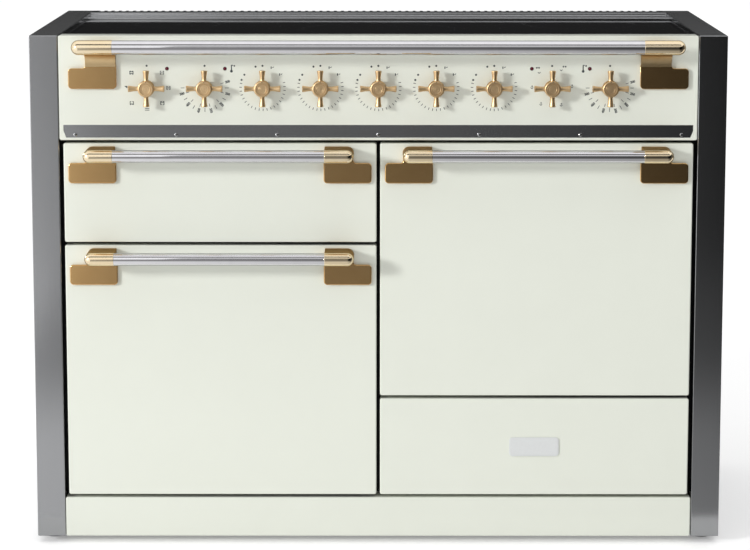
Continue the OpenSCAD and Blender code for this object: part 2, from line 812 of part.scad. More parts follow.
module fan_motors() color("#77797b") from_front() for (door = [left_door, right_door])
    translate([door.x, wool_back, fan_z(door)]) difference() {
        union() {
            rod_y(motor_r, 0, 0, motor_l, 0);
            block([-strap_half, 0, -strap_w / 2], [strap_half, strap_t, strap_w / 2]);
        }
        rod_y(shaft_r + play, 0, -1, shaft_in + 1, 0);
    }

// A tube bent to and fro under the grill's ceiling
module grill_element() color("#55504c") from_front() {
    pitch = 58;
    r = 4;
    runs = 6;
    z = door_high - grill_border - 15;
    y0 = seat_y + 50;
    y1 = oven_back - 60;
    x0 = -col_x - pitch * (runs - 1) / 2;
    for (n = [0 : runs - 1]) {
        last = n == 0 || n == runs - 1;
        rod_y(r, x0 + n * pitch, y0, last ? oven_back : y1, z);
    }
    for (n = [0 : 2 : runs - 2]) translate([x0 + (n + 0.5) * pitch, y0, z]) bend(pitch / 2, r, 180);
    for (n = [1 : 2 : runs - 3]) translate([x0 + (n + 0.5) * pitch, y1, z]) bend(pitch / 2, r, 0);
    for (y = [y0 + 40, y1 - 40])
        block([x0 - 12, y - 4, z], [x0 + pitch * (runs - 1) + 12, y + 4, z + 15]);
}

module bend(radius, r, turn) rotate([0, 0, turn])
    rotate_extrude(angle = 180) translate([radius, 0]) circle(r);

// An enamelled pan that hangs on the liner's ledges, with a wire rack inside
module grill_pan() color("#4a4b4d") from_front() translate([-col_x, 0, ledge_z + snug]) {
    half = mouth_half - pan_play;
    inset = ledge_w;
    y0 = seat_y + 24;
    y1 = oven_back - 60;
    difference() {
        union() {
            block([-half, y0, 0], [half, y1, liner_t]);
            block([-half + inset, y0, -pan_deep], [half - inset, y1, liner_t]);
        }
        block([-half + inset + liner_t, y0 + liner_t, -pan_deep + liner_t],
              [half - inset - liner_t, y1 - liner_t, 2 * liner_t]);
    }
    rack = half - inset - 4;
    translate([0, 0, -pan_deep + liner_t + snug]) {
        for (x = [-1, 1], y = [y0 + 30, y1 - 30 - rack_bar])
            translate([x * (rack - rack_bar / 2) - rack_bar / 2, y, 0])
                cube([rack_bar, rack_bar, rack_up + 2]);
        difference() {
            block([-rack, y0 + 6, rack_up], [rack, y1 - 6, rack_up + rack_bar]);
            block([-rack + rack_bar, y0 + 6 + rack_bar, rack_up - 1],
                  [rack - rack_bar, y1 - 6 - rack_bar, rack_up + rack_bar + 1]);
        }
        for (n = [-5 : 5]) rod_y(2, n * pan_wire_pitch, y0 + 9, y1 - 9, rack_up + rack_bar / 2);
    }
}

// Drawer

module drawer_front() color(cream) from_front() difference() {
    upright(col_x, door_low, drawer_high, door_w, 0, skin_d, corner_r);
    upright(col_x, door_low + skin_t, drawer_high - skin_t, door_w - 2 * skin_t, skin_t, skin_d + 1, fold_r);
}

// A folded tray, the plate that closes its front, and a rib on each side
module drawer_box() color(zinc) from_front() translate([col_x, 0, 0]) {
    front = skin_d + sheet + snug;
    back = skin_d + drawer_l;
    difference() {
        block([-box_half, front, box_low], [box_half, back, box_high]);
        block([-box_half + sheet, front - 1, box_low + sheet],
              [box_half - sheet, back - sheet, box_high + 1]);
    }
    upright(0, door_low + skin_t / 2, drawer_high - skin_t / 2,
            door_w - skin_t, skin_d, skin_d + sheet, corner_r);
    for (m = [0, 1]) mirror([m, 0, 0])
        block([box_half + snug, frame_y, rib_z], [box_half + rib, back, rib_z + rib_h]);
}

// Channels that stand on the base tray and hold the drawer's side ribs
module drawer_runners() color(zinc) from_front() for (m = [0, 1]) translate([col_x, 0, 0]) mirror([m, 0, 0]) {
    web = box_half + rib + runner_gap;
    block([web, runner_front, base_top],
          [web + runner_t, runner_back, rib_z + rib_h + runner_gap + runner_t]);
    block([web - rib + 1, runner_front, rib_z - runner_gap - runner_t],
          [web + 1, runner_back, rib_z - runner_gap]);
    block([web - rib + 1, runner_front, rib_z + rib_h + runner_gap],
          [web + 1, runner_back, rib_z + rib_h + runner_gap + runner_t]);
    block([web - 2, runner_front, base_top], [web + 12, runner_back, base_top + runner_t]);
}

module badge_plate() color("#c9cacc") from_front()
    upright(col_x, (door_low + drawer_high - badge_h) / 2, (door_low + drawer_high + badge_h) / 2,
            badge_w, -2, 0, 6);

module terminal_cover() color("#2b2b2d") from_front() {
    w = terminal_w / 2;
    h = terminal_h / 2;
    difference() {
        union() {
            upright(terminal_x, terminal_z - h - 10, terminal_z + h + 10, terminal_w + 20,
                    cover_y + sheet, body_d, 5);
            upright(terminal_x, terminal_z - h + snug, terminal_z + h - snug, terminal_w - 2 * snug,
                    body_d - terminal_d, body_d, 4);
        }
        upright(terminal_x, terminal_z - h + 3, terminal_z + h - 3, terminal_w - 6,
                body_d - terminal_d + 2, body_d + 1, 3);
        rod_y(gland_r, terminal_x, body_d - terminal_d - 1, body_d - terminal_d + 3, terminal_z);
    }
}

side_panel_left();
side_panel_right();
back_cover();
base_tray();
front_frame();
plinth();
levelling_feet();
hob_glass();
hob_frame();
rear_vent();
induction_coils();
control_panel();
vent_strip();
panel_screws();
indicator_lamps();
regulators();
rail_tube();
rail_brackets();
grill_liner();
left_oven_liner();
right_oven_liner();
oven_wool();
oven_seals();
oven_racks();
fan_covers();
fan_motors();
grill_element();
grill_pan();
drawer_runners();
hinge_receivers();
terminal_cover();
grill_door_skin();
grill_door_liner();
grill_door_hinges();
grill_handle_bar();
grill_handle_brackets();
left_door_skin();
left_door_liner();
left_door_hinges();
left_handle_bar();
left_handle_brackets();
right_door_skin();
right_door_liner();
right_door_hinges();
right_handle_bar();
right_handle_brackets();
drawer_front();
drawer_box();
badge_plate();
left_fan();
right_fan();
knob_1();
knob_2();
knob_3();
knob_4();
knob_5();
knob_6();
knob_7();
knob_8();
knob_9();
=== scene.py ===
import json
import math

import bmesh
import bpy
from mathutils import Matrix, Vector


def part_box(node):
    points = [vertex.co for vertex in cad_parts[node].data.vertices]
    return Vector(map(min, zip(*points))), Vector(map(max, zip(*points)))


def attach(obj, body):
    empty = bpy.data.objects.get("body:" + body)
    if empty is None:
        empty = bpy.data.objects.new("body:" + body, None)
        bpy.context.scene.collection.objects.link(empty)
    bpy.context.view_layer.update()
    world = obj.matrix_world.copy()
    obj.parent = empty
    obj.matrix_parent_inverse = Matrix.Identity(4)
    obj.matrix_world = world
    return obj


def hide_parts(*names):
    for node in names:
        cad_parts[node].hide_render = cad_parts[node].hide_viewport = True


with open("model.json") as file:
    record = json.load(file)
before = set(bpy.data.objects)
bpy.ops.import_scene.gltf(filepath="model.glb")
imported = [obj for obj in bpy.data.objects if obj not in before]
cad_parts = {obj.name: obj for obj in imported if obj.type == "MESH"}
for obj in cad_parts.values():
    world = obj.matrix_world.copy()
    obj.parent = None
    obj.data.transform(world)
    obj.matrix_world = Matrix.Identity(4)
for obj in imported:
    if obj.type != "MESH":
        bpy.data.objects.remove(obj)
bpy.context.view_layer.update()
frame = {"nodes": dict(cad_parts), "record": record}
nodes = frame["nodes"]
record = frame["record"]
bodyOf = {name: body for body, names in record["behaviour"]["bodies"].items() for name in names}
slotOf = {part["node"]: part["material_slot"] for part in record["subparts"]}
mm = 0.001
print("frame loaded:", len(nodes), "nodes")


# Colour, nodes and materials

def linear(hexColour):
    parts = [int(hexColour[i:i + 2], 16) / 255 for i in (1, 3, 5)]
    return tuple(c / 12.92 if c <= 0.04045 else ((c + 0.055) / 1.055) ** 2.4 for c in parts) + (1.0,)


def perMetre(sizeInMm):
    return 1000 / sizeInMm  # a pattern's scale from the real size of its grain


def addNode(tree, kind, inputs=None, **settings):
    node = tree.nodes.new("ShaderNode" + kind)
    for name, value in settings.items():
        setattr(node, name, value)
    for socket, value in (inputs or {}).items():
        if isinstance(value, bpy.types.NodeSocket):
            tree.links.new(value, node.inputs[socket])
        else:
            node.inputs[socket].default_value = value
    return node


def startMaterial(name, colour, roughness, metallic=0.0, **more):
    material = bpy.data.materials.new(name)
    material.use_nodes = True
    tree = material.node_tree
    shader = tree.nodes["Principled BSDF"]
    shader.inputs["Base Color"].default_value = linear(colour)
    shader.inputs["Roughness"].default_value = roughness
    shader.inputs["Metallic"].default_value = metallic
    for socket, value in more.items():
        shader.inputs[socket.replace("_", " ")].default_value = value
    coords = addNode(tree, "TexCoord").outputs["Object"]
    return material, tree, shader, coords


def mottle(tree, shader, pattern, light, dark, rough=None):
    # the pattern moves the colour between two shades, and the roughness between two values
    shade = addNode(tree, "Mix", {0: pattern, 6: linear(light), 7: linear(dark)}, data_type="RGBA")
    tree.links.new(shade.outputs[2], shader.inputs["Base Color"])
    if rough:
        worn = addNode(tree, "MapRange", {"Value": pattern, "To Min": rough[0], "To Max": rough[1]})
        tree.links.new(worn.outputs["Result"], shader.inputs["Roughness"])


def relief(tree, shader, height, depthInMm):
    bump = addNode(tree, "Bump", {"Height": height, "Strength": 1.0, "Distance": depthInMm * mm})
    tree.links.new(bump.outputs["Normal"], shader.inputs["Normal"])


def noise(tree, coords, sizeInMm, detail=2.0):
    texture = addNode(tree, "TexNoise", {"Vector": coords, "Scale": perMetre(sizeInMm), "Detail": detail})
    return texture.outputs["Fac"]


def cells(tree, coords, sizeInMm):
    return addNode(tree, "TexVoronoi", {"Vector": coords, "Scale": perMetre(sizeInMm)}, feature="F1").outputs


def grain(tree, coords, across, along, direction, detail=4.0):
    # noise drawn out into brush lines along one direction; the mapping gives it its scale
    scales = [perMetre(across)] * 3
    scales["xyz".index(direction)] = perMetre(along)
    lines = addNode(tree, "Mapping", {"Vector": coords, "Scale": scales}, vector_type="POINT")
    return noise(tree, lines.outputs["Vector"], 1000, detail)


def makeCreamEnamel():
    # vitreous enamel on pressed steel, fired: deep gloss, a trace of orange peel, clouding too faint to name
    material, tree, shader, coords = startMaterial("creamVitreousEnamel", "#e6e9de", 0.16, IOR=1.5)
    mottle(tree, shader, noise(tree, coords, 90), "#e7eadf", "#e4e7dc", (0.13, 0.19))
    relief(tree, shader, noise(tree, coords, 5), 0.012)
    return material


def makeBrushedSteel(name, direction, light, dark, rough):
    # stainless sheet, linished along its length: soft grey streaks, drawn 1 mm wide so that they show
    material, tree, shader, coords = startMaterial(name, light, rough[0], 1.0)
    streaks = grain(tree, coords, 1.0, 160, direction)
    mottle(tree, shader, streaks, light, dark, rough)
    relief(tree, shader, streaks, 0.012)
    return material


def makePolishedSteel():
    # drawn stainless tube, mirror polished: near white with faint turning lines round it; the dark grey edge
    # tint is painted shade along its top and bottom rims
    material, tree, shader, coords = startMaterial("polishedStainlessTube", "#ebeaed", 0.05, 1.0,
                                                   Specular_Tint=linear("#767678"))
    haze = grain(tree, coords, 60, 14, "x", 2.0)
    mottle(tree, shader, haze, "#ebeaed", "#e4e3e6", (0.04, 0.06))
    return material


def makeBrass(name, light, dark, rough, grainMm, edgeShadeTint="#ffffff"):
    # cast brass, ground and polished by hand, lacquered: warm gold with soft darker drifts; a dark edge tint,
    # where given, is painted shade on rims and grazing faces
    material, tree, shader, coords = startMaterial(name, light, rough[0], 1.0, Specular_Tint=linear(edgeShadeTint))
    mottle(tree, shader, noise(tree, coords, grainMm, 5.0), light, dark, rough)
    relief(tree, shader, noise(tree, coords, 1.2, 3.0), 0.02)
    return material


def makeBlackGlass():
    # ceramic glass, polished, black in the mass: a clear dark mirror
    material, tree, shader, coords = startMaterial("blackCeramicGlass", "#08080a", 0.04, IOR=1.52,
                                                   Specular_IOR_Level=0.4)
    mottle(tree, shader, noise(tree, coords, 140, 3.0), "#08080a", "#0b0b0d", (0.03, 0.05))
    return material


def makeDarkEnamel():
    # oven enamel, fired dark grey with pale specks, drawn 2.4 mm apart so that they show
    material, tree, shader, coords = startMaterial("speckledOvenEnamel", "#232529", 0.24)
    specks = addNode(tree, "MapRange", {"Value": cells(tree, coords, 2.4)["Distance"], "From Min": 0.12,
                                        "From Max": 0.2, "To Min": 1.0, "To Max": 0.0})
    mottle(tree, shader, specks.outputs["Result"], "#232529", "#6d7176")
    relief(tree, shader, noise(tree, coords, 8), 0.03)
    return material


def makeZincPlate():
    # hot-dip galvanised sheet: crystals about 6 mm across, each of a slightly different grey
    material, tree, shader, coords = startMaterial("galvanisedSheet", "#a9abab", 0.4, 1.0)
    tone = addNode(tree, "SeparateColor", {"Color": cells(tree, coords, 6)["Color"]}).outputs["Red"]
    mottle(tree, shader, tone, "#b0b2b2", "#a0a2a2", (0.38, 0.46))
    return material


def makePaint(name, light, dark, rough, grainMm, depthInMm):
    # powder coat, print or moulded plastic: an even colour over a fine pebbled skin
    material, tree, shader, coords = startMaterial(name, light, rough[0])
    pebble = noise(tree, coords, grainMm, 3.0)
    mottle(tree, shader, pebble, light, dark, rough)
    relief(tree, shader, pebble, depthInMm)
    return material


def makeGasket():
    # woven glass-fibre rope: dark, dull, ribbed by its braid
    material, tree, shader, coords = startMaterial("braidedGlassRope", "#47484a", 0.9, Sheen_Weight=0.3)
    braid = cells(tree, coords, 2.2)["Distance"]
    mottle(tree, shader, braid, "#5a5b5d", "#2c2d2f")
    relief(tree, shader, braid, 0.5)
    return material


def makeMineralWool():
    # rock wool slab: matted straw-coloured fibres
    material, tree, shader, coords = startMaterial("mineralWoolSlab", "#bdb083", 1.0, Sheen_Weight=0.4)
    fibres = grain(tree, coords, 1.5, 18, "x", 6.0)
    mottle(tree, shader, fibres, "#cfc397", "#93875c")
    relief(tree, shader, fibres, 1.0)
    return material


def makeRedLens():
    # dark red acrylic lamp lens, unlit: almost black with a red edge and a bright glint
    material, tree, shader, coords = startMaterial("darkRedLens", "#5c0a20", 0.12, Coat_Weight=0.6)
    mottle(tree, shader, noise(tree, coords, 2), "#660c26", "#46081a")
    return material


def makeHeaterSteel():
    # heat-stained nickel alloy sheath: brown-grey with blued patches
    material, tree, shader, coords = startMaterial("heatStainedSheath", "#5a5049", 0.45, 1.0)
    mottle(tree, shader, noise(tree, coords, 40, 4.0), "#6a5d50", "#474a55", (0.38, 0.55))
    return material


brassGround = makeBrass("groundCastBrass", "#ebc288", "#d8ae74", (0.13, 0.17), 26)
# barrel brass: the near-white base is polished brass with a painted highlight, and the dark edge tint is
# painted shade on the rims
brassPaintedHighlight = makeBrass("polishedTurnedBrassPaintedHighlight", "#fceccd", "#f5dfb8", (0.08, 0.12), 40, "#a89680")
# arm brass: the dark edge tint is painted shade on the arms' tops and rims
brassArmShadedEdge = makeBrass("satinCastBrassShadedEdge", "#dec497", "#d0b284", (0.32, 0.4), 12, "#896c4b")
# knob brass: the dark edge tint is painted shade on the grazing faces of hubs and arms
brassKnobShadedEdge = makeBrass("satinTurnedBrassShadedEdge", "#eacb9e", "#dab98c", (0.38, 0.45), 6, "#a88c68")
dialInk = makePaint("greyDialPrint", "#3c4446", "#363e40", (0.45, 0.55), 3, 0.002)
zoneInk = makePaint("firedZoneMarks", "#1d1e20", "#191a1c", (0.1, 0.14), 3, 0.002)
badgeMetal = makePaint("pearlSatinPlate", "#dee0e0", "#d8dada", (0.28, 0.36), 4, 0.01)
steelUpright = makeBrushedSteel("brushedSteelUpright", "z", "#abacae", "#a4a5a7", (0.13, 0.17))
steelAcross = makeBrushedSteel("brushedSteelAcross", "x", "#b4b5b7", "#aaabad", (0.12, 0.17))
steelTop = makeBrushedSteel("brushedSteelTop", "y", "#b4b5b7", "#a6a7a9", (0.17, 0.22))
# near-black paint: painted shade in the screw heads' cross recesses; the knobs' index dots use it too
recessShadePaint = makePaint("recessShadePaint", "#0d0d0d", "#080808", (0.6, 0.7), 2, 0.01)

finishes = {
    "cream_enamel": makeCreamEnamel(),
    "brushed_steel": steelAcross,
    "polished_steel": makePolishedSteel(),
    "brass": brassGround,
    "black_glass": makeBlackGlass(),
    "dark_enamel": makeDarkEnamel(),
    "zinc_plate": makeZincPlate(),
    "black_paint": makePaint("blackPowderCoat", "#17181a", "#121314", (0.45, 0.55), 1.5, 0.02),
    "chrome_wire": makeBrushedSteel("brightPlatedWire", "x", "#d8dadd", "#c9cbce", (0.12, 0.2)),
    "gasket": makeGasket(),
    "mineral_wool": makeMineralWool(),
    "black_plastic": makePaint("mouldedBlackPlastic", "#1c1c1e", "#161618", (0.5, 0.6), 1.0, 0.03),
    "red_lens": makeRedLens(),
    "coil_copper": makeBrushedSteel("enamelledCopperWire", "x", "#c07a4e", "#9c5c36", (0.3, 0.4)),
    "heater_steel": makeHeaterSteel(),
    "fan_aluminium": makeBrushedSteel("pressedAluminium", "z", "#c6c8ca", "#b4b6b8", (0.34, 0.46)),
    "motor_steel": makeBrushedSteel("motorCaseSteel", "x", "#88898b", "#767779", (0.4, 0.5)),
}
print("materials made:", len(bpy.data.materials))


# Shaping and finishing; lengths are in millimetres until a piece is finished

shaping = {
    "joinWithin": 0.002,
    "flatWithin": 0.6,  # degrees: faces closer than this to one plane become one face
    "softenOver": 28,  # degrees between two faces from which an edge is rounded
    "squareOver": 50,
    "sharpOver": 35,
}


def boxOf(node):
    low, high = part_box(node)
    return low * 1000, high * 1000


def roundedOutline(corners, steps=6):
    # corners are (u, v, radius); a round corner becomes an arc
    points = []
    for before, here, after in zip(corners[-1:] + corners, corners, corners[1:] + corners[:1]):
        corner, radius = Vector(here[:2]), here[2]
        if not radius:
            points.append(corner)
            continue
        back = (Vector(before[:2]) - corner).normalized()
        on = (Vector(after[:2]) - corner).normalized()
        half = back.angle(on) / 2
        centre = corner + (back + on).normalized() * radius / math.sin(half)
        first, last = (corner + side * radius / math.tan(half) - centre for side in (back, on))
        points += [centre + first.slerp(last, n / steps).normalized() * radius for n in range(steps + 1)]
    return points


def arc(centre, radius, start, end, steps=16):
    angles = [math.radians(start + (end - start) * n / steps) for n in range(steps + 1)]
    return [Vector((centre[0] + radius * math.cos(a), centre[1] + radius * math.sin(a))) for a in angles]


def drawOut(bm, outline, axis, start, end, rim=0.0, finish=0):
    # an outline drawn out along an axis, its two rims rounded; u and v are the other two axes in turn
    spread = {"x": lambda u, v: (start, u, v), "y": lambda u, v: (u, start, v),
              "z": lambda u, v: (u, v, start)}[axis]
    face = bm.faces.new([bm.verts.new(spread(*point)) for point in outline])
    drawn = bmesh.ops.extrude_face_region(bm, geom=[face])["geom"]
    reach = Vector([(end - start) * (axis == name) for name in "xyz"])
    bmesh.ops.translate(bm, vec=reach, verts=[item for item in drawn if isinstance(item, bmesh.types.BMVert)])
    far = [item for item in drawn if isinstance(item, bmesh.types.BMFace)][0]
    island = set(face.verts) | set(far.verts)
    for side in {f for vertex in island for f in vertex.link_faces}:
        side.material_index = finish
    if rim:
        bmesh.ops.bevel(bm, geom=list(set(face.edges) | set(far.edges)), offset=rim, offset_type="OFFSET",
                        segments=3, profile=0.5, affect="EDGES", clamp_overlap=True, material=-1)


def slab(bm, low, high, axis, corner=0.0, rim=0.0, finish=0):
    # a plate or bar with its corners rounded about an axis
    u, v = ["xyz".index(name) for name in "xyz" if name != axis]
    across = [(low[u], low[v], corner), (high[u], low[v], corner),
              (high[u], high[v], corner), (low[u], high[v], corner)]
    along = "xyz".index(axis)
    drawOut(bm, roundedOutline(across), axis, low[along], high[along], rim, finish)


def turn(bm, profile, centre, axis, steps=48, finish=0):
    # a profile of (along, radius) points spun about an axis, like work in a lathe
    axis = Vector(axis).normalized()
    across = axis.orthogonal().normalized()
    line = [bm.verts.new(Vector(centre) + axis * along + across * radius) for along, radius in profile]
    edges = [bm.edges.new(pair) for pair in zip(line, line[1:])]
    before = set(bm.faces)
    bmesh.ops.spin(bm, geom=line + edges, cent=centre, axis=axis, dvec=(0, 0, 0), angle=math.tau,
                   steps=steps, use_merge=True, use_normal_flip=False, use_duplicate=False)
    for face in set(bm.faces) - before:
        face.material_index = finish


def tube(bm, points, radius, closed=False, around=12):
    # a round wire along a path, through a bevelled curve
    curve = bpy.data.curves.new("wirePath", "CURVE")
    curve.dimensions = "3D"
    curve.bevel_depth = radius
    curve.bevel_resolution = around // 4
    curve.use_fill_caps = True
    spline = curve.splines.new("POLY")
    spline.points.add(len(points) - 1)
    for point, place in zip(spline.points, points):
        point.co = (*place, 1)
    spline.use_cyclic_u = closed
    holder = bpy.data.objects.new("wirePath", curve)
    mesh = bpy.data.meshes.new_from_object(holder)
    bm.from_mesh(mesh)
    bpy.data.objects.remove(holder)
    bpy.data.curves.remove(curve)
    bpy.data.meshes.remove(mesh)


def cadCopy(node):
    # the node's own shape as clean faces, in millimetres
    bm = bmesh.new()
    bm.from_mesh(nodes[node].data)
    bmesh.ops.scale(bm, vec=(1000, 1000, 1000), verts=bm.verts)
    bmesh.ops.remove_doubles(bm, verts=bm.verts, dist=shaping["joinWithin"])
    bmesh.ops.dissolve_limit(bm, angle_limit=math.radians(shaping["flatWithin"]), verts=bm.verts,
                             edges=bm.edges)
    return bm


def soften(bm, radius, segments=2, chosen=None):
    edges = [edge for edge in bm.edges if len(edge.link_faces) == 2
             and edge.calc_face_angle() > math.radians(shaping["softenOver"])
             and (chosen is None or chosen(edge))]
    bmesh.ops.bevel(bm, geom=edges, offset=radius, offset_type="OFFSET", segments=segments, profile=0.5,
                    affect="EDGES", clamp_overlap=True, material=-1)


def softenSquare(bm, radius):
    # the square edges only, and not the facets of a larger rounding beside them
    soften(bm, radius, 2, lambda edge: edge.calc_face_angle() > math.radians(shaping["squareOver"]))


def finishPiece(name, bm, body, slot, materials, replaced=(), recalculate=True):
    bmesh.ops.remove_doubles(bm, verts=bm.verts, dist=shaping["joinWithin"])
    if recalculate:
        bmesh.ops.recalc_face_normals(bm, faces=bm.faces)
    for face in bm.faces:
        face.smooth = True
    for edge in bm.edges:
        edge.smooth = (len(edge.link_faces) == 2
                       and edge.calc_face_angle() < math.radians(shaping["sharpOver"]))
    bmesh.ops.scale(bm, vec=(mm, mm, mm), verts=bm.verts)
    mesh = bpy.data.meshes.new(name)
    bm.to_mesh(mesh)
    bm.free()
    for material in materials:
        mesh.materials.append(material)
    piece = bpy.data.objects.new(name, mesh)
    bpy.context.scene.collection.objects.link(piece)
    shading = piece.modifiers.new("evenShading", "WEIGHTED_NORMAL")
    shading.keep_sharp = True
    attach(piece, body)
    if replaced:
        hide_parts(*replaced)
    return piece


def camel(node):
    first, *rest = node.split("_")
    return first + "".join(word.capitalize() for word in rest)


def dress(node, bm, materials=None, recalculate=True):
    # a finished piece that stands for one CAD node
    return finishPiece(camel(node), bm, bodyOf[node], slotOf[node], materials or [finishes[slotOf[node]]],
                       (node,), recalculate)


# Enamelled fronts

fronts = {
    "faceRounding": 2.4,  # the fold round each enamelled front
    "edgeRounding": 0.35,
    "cornerReach": 6.0,
}

frontY = boxOf("control_panel")[0].y


def onRim(edge, low, high):
    # the outer edge of a front, and not the rims of its holes
    return all(abs(v.co.y - low.y) < 0.01 and
               min(v.co.x - low.x, high.x - v.co.x, v.co.z - low.z, high.z - v.co.z) < fronts["cornerReach"]
               for v in edge.verts)


for node in ("control_panel", "plinth", "grill_door_skin", "left_door_skin", "right_door_skin",
             "drawer_front"):
    low, high = boxOf(node)
    bm = cadCopy(node)
    soften(bm, fronts["faceRounding"], 5, lambda edge: onRim(edge, low, high))
    softenSquare(bm, fronts["edgeRounding"])
    dress(node, bm, recalculate=False)
print("enamelled fronts made")


# Steel cheeks, hob surround and carcass

carcass = {
    "cheekFold": 3.8,
    "returnEdge": 20.0,  # shorter edges than this aren't folds
    "sheetEdge": 0.4,
    "cavityCorner": 8.0,
    "cavityDepth": 300.0,  # the cavities' long corners are deeper than this
    "linerEdge": 0.5,
}

for node in ("side_panel_left", "side_panel_right"):
    low, high = boxOf(node)
    bm = cadCopy(node)
    soften(bm, carcass["cheekFold"], 5, lambda edge: all(
        min(v.co.y - low.y, high.y - v.co.y) < 0.01 or high.z - v.co.z < 0.01 for v in edge.verts)
        and edge.calc_length() > carcass["returnEdge"] and edge.calc_face_angle() > math.radians(80)
        and all(min(abs(v.co.x - low.x), abs(v.co.x - high.x)) < 0.01 for v in edge.verts))
    softenSquare(bm, carcass["sheetEdge"])
    for side in bm.faces:
        side.material_index = side.normal.z > 0.95 and side.calc_center_median().z > high.z - 1
    dress(node, bm, [steelUpright, steelTop], recalculate=False)

vent = {
    "fold": 1.5,
    "foldLength": 500.0,  # the folds run nearly the whole width
    "stepBand": 6.0,
    "slotBand": 50.0,
    "sheetEdge": 0.3,
    "inset": 2.0,
    "backing": 4.0,
}
low, high = boxOf("rear_vent")
bm = cadCopy("rear_vent")
soften(bm, vent["fold"], 4, lambda edge: edge.calc_length() > vent["foldLength"]
       and min(v.co.z for v in edge.verts) > high.z - vent["stepBand"]
       and edge.verts[0].co.y < high.y - vent["slotBand"])
softenSquare(bm, vent["sheetEdge"])
slab(bm, (low.x + vent["inset"], high.y - 1 - vent["backing"], low.z + vent["inset"]),
     (high.x - vent["inset"], high.y - 1, high.z - 1), "x", 0.4)
dress("rear_vent", bm, recalculate=False)

plainNodes = {
    "hob_frame": 0.4, "vent_strip": 0.2, "front_frame": 0.4, "base_tray": 0.4,
    "drawer_runners": 0.4, "hinge_receivers": 0.4, "fan_motors": 0.8, "regulators": 0.8,
    "oven_wool": 1.5, "grill_pan": 0.5, "grill_element": 0.3, "fan_covers": 0.4,
    "left_fan": 0.3, "right_fan": 0.3, "drawer_box": 0.4, "terminal_cover": 0.8,
    "grill_door_hinges": 0.4, "left_door_hinges": 0.4, "right_door_hinges": 0.4,
    "grill_door_liner": 0.5, "left_door_liner": 0.5, "right_door_liner": 0.5,
}
for node, radius in plainNodes.items():
    bm = cadCopy(node)
    soften(bm, radius)
    dress(node, bm, recalculate=False)

for node in ("grill_liner", "left_oven_liner", "right_oven_liner"):
    bm = cadCopy(node)
    soften(bm, carcass["cavityCorner"], 5,
           lambda edge: abs(edge.verts[0].co.y - edge.verts[1].co.y) > carcass["cavityDepth"]
           and abs(edge.verts[0].co.x - edge.verts[1].co.x) < 0.1)
    soften(bm, carcass["linerEdge"])
    dress(node, bm, recalculate=False)
print("carcass made")


# Hob: glass with an arris, marks of the five zones, and the wound coils under it

hob = {
    "arris": 0.9,
    "ringWidth": 1.6,
    "markHeight": 0.04,
    "crossReach": 9.0,
    "coilHole": 24.0,
    "carrierHeight": 6.0,
    "carrierRim": 5.0,
    "turnPitch": 4.0,
    "turnDepth": 1.6,
}

low, high = boxOf("hob_glass")
bm = cadCopy("hob_glass")
soften(bm, hob["arris"], 3)
dress("hob_glass", bm, recalculate=False)

coilLow, coilHigh = boxOf("induction_coils")


def coilCircles():
    # each coil's centre and radius, read from its carrier's loose mesh islands
    bm = cadCopy("induction_coils")
    left = set(bm.verts)
    while left:
        island, frontier = set(), [left.pop()]
        while frontier:
            vertex = frontier.pop()
            island.add(vertex)
            near = {other for link in vertex.link_edges for other in link.verts} & left
            left -= near
            frontier += near
        xs = [v.co.x for v in island]
        ys = [v.co.y for v in island]
        yield (min(xs) + max(xs)) / 2, (min(ys) + max(ys)) / 2, (max(xs) - min(xs)) / 2
    bm.free()


zones = sorted(coilCircles())
marks = bmesh.new()
coils = bmesh.new()
half, lift, cross = hob["ringWidth"] / 2, hob["markHeight"], hob["crossReach"]
hole, carrier, rim = hob["coilHole"], hob["carrierHeight"], hob["carrierRim"]
top = coilHigh.z - coilLow.z
for x, y, radius in zones:
    inner, outer = radius - half, radius + half
    ring = [(0, inner), (lift, inner), (lift, outer), (0, outer), (0, inner)]
    turn(marks, ring, (x, y, high.z), (0, 0, 1), 96)
    slab(marks, (x - cross, y - half, high.z), (x + cross, y + half, high.z + lift), "z")
    slab(marks, (x - half, y - cross, high.z), (x + half, y + cross, high.z + lift * 0.9), "z")
    turns = [(0, hole), (0, radius), (carrier, radius), (carrier, radius - rim)]
    for n in range(int((radius - rim - hole - 2) / hob["turnPitch"])):
        wire = radius - rim - n * hob["turnPitch"]
        turns += [(top - hob["turnDepth"], wire), (top - 0.5, wire - 0.8), (top, wire - 2),
                  (top - 0.5, wire - 3.2)]
    turns += [(top - hob["turnDepth"], hole), (0, hole)]
    turn(coils, turns, (x, y, coilLow.z), (0, 0, 1), 64)
finishPiece("zoneMarks", marks, "root", "black_glass", [zoneInk])
dress("induction_coils", coils)
print("hob made")


# Rail, bars and their brackets

bars = {
    "chamfer": 1.0,
    "plateWide": 84.0,
    "plateHigh": 36.0,
    "plateThick": 6.0,
    "plateRim": 1.6,
    "plateCorner": 6.5,
    "innerCorner": 5.0,
    "mouthIn": 2.0,  # from the plate's inner edge to the barrel's mouth
    "plug": 14.0,  # how deep the barrel is open round the bar
    "tuck": 0.6,  # how far an arm's foot is let into its plate
    "armRim": 1.4,
}
railCast = {
    "barrel": 58.0,
    "radius": 12.65,
    "bore": 12.28,
    "arm": 54.0,
    "rise": 40.0,  # from the plate's top to the rail's axis
    "lift": 3.0,  # from there to where the underside of the arm leaves the plate
    "thick": 13.0,
}
doorCast = {
    "barrel": 39.6,
    "radius": 11.6,
    "bore": 11.1,
    "drop": 17.0,  # from the bar's axis down to the plate's top
    "root": 3.0,
    "mouthCorner": 1.2,
}


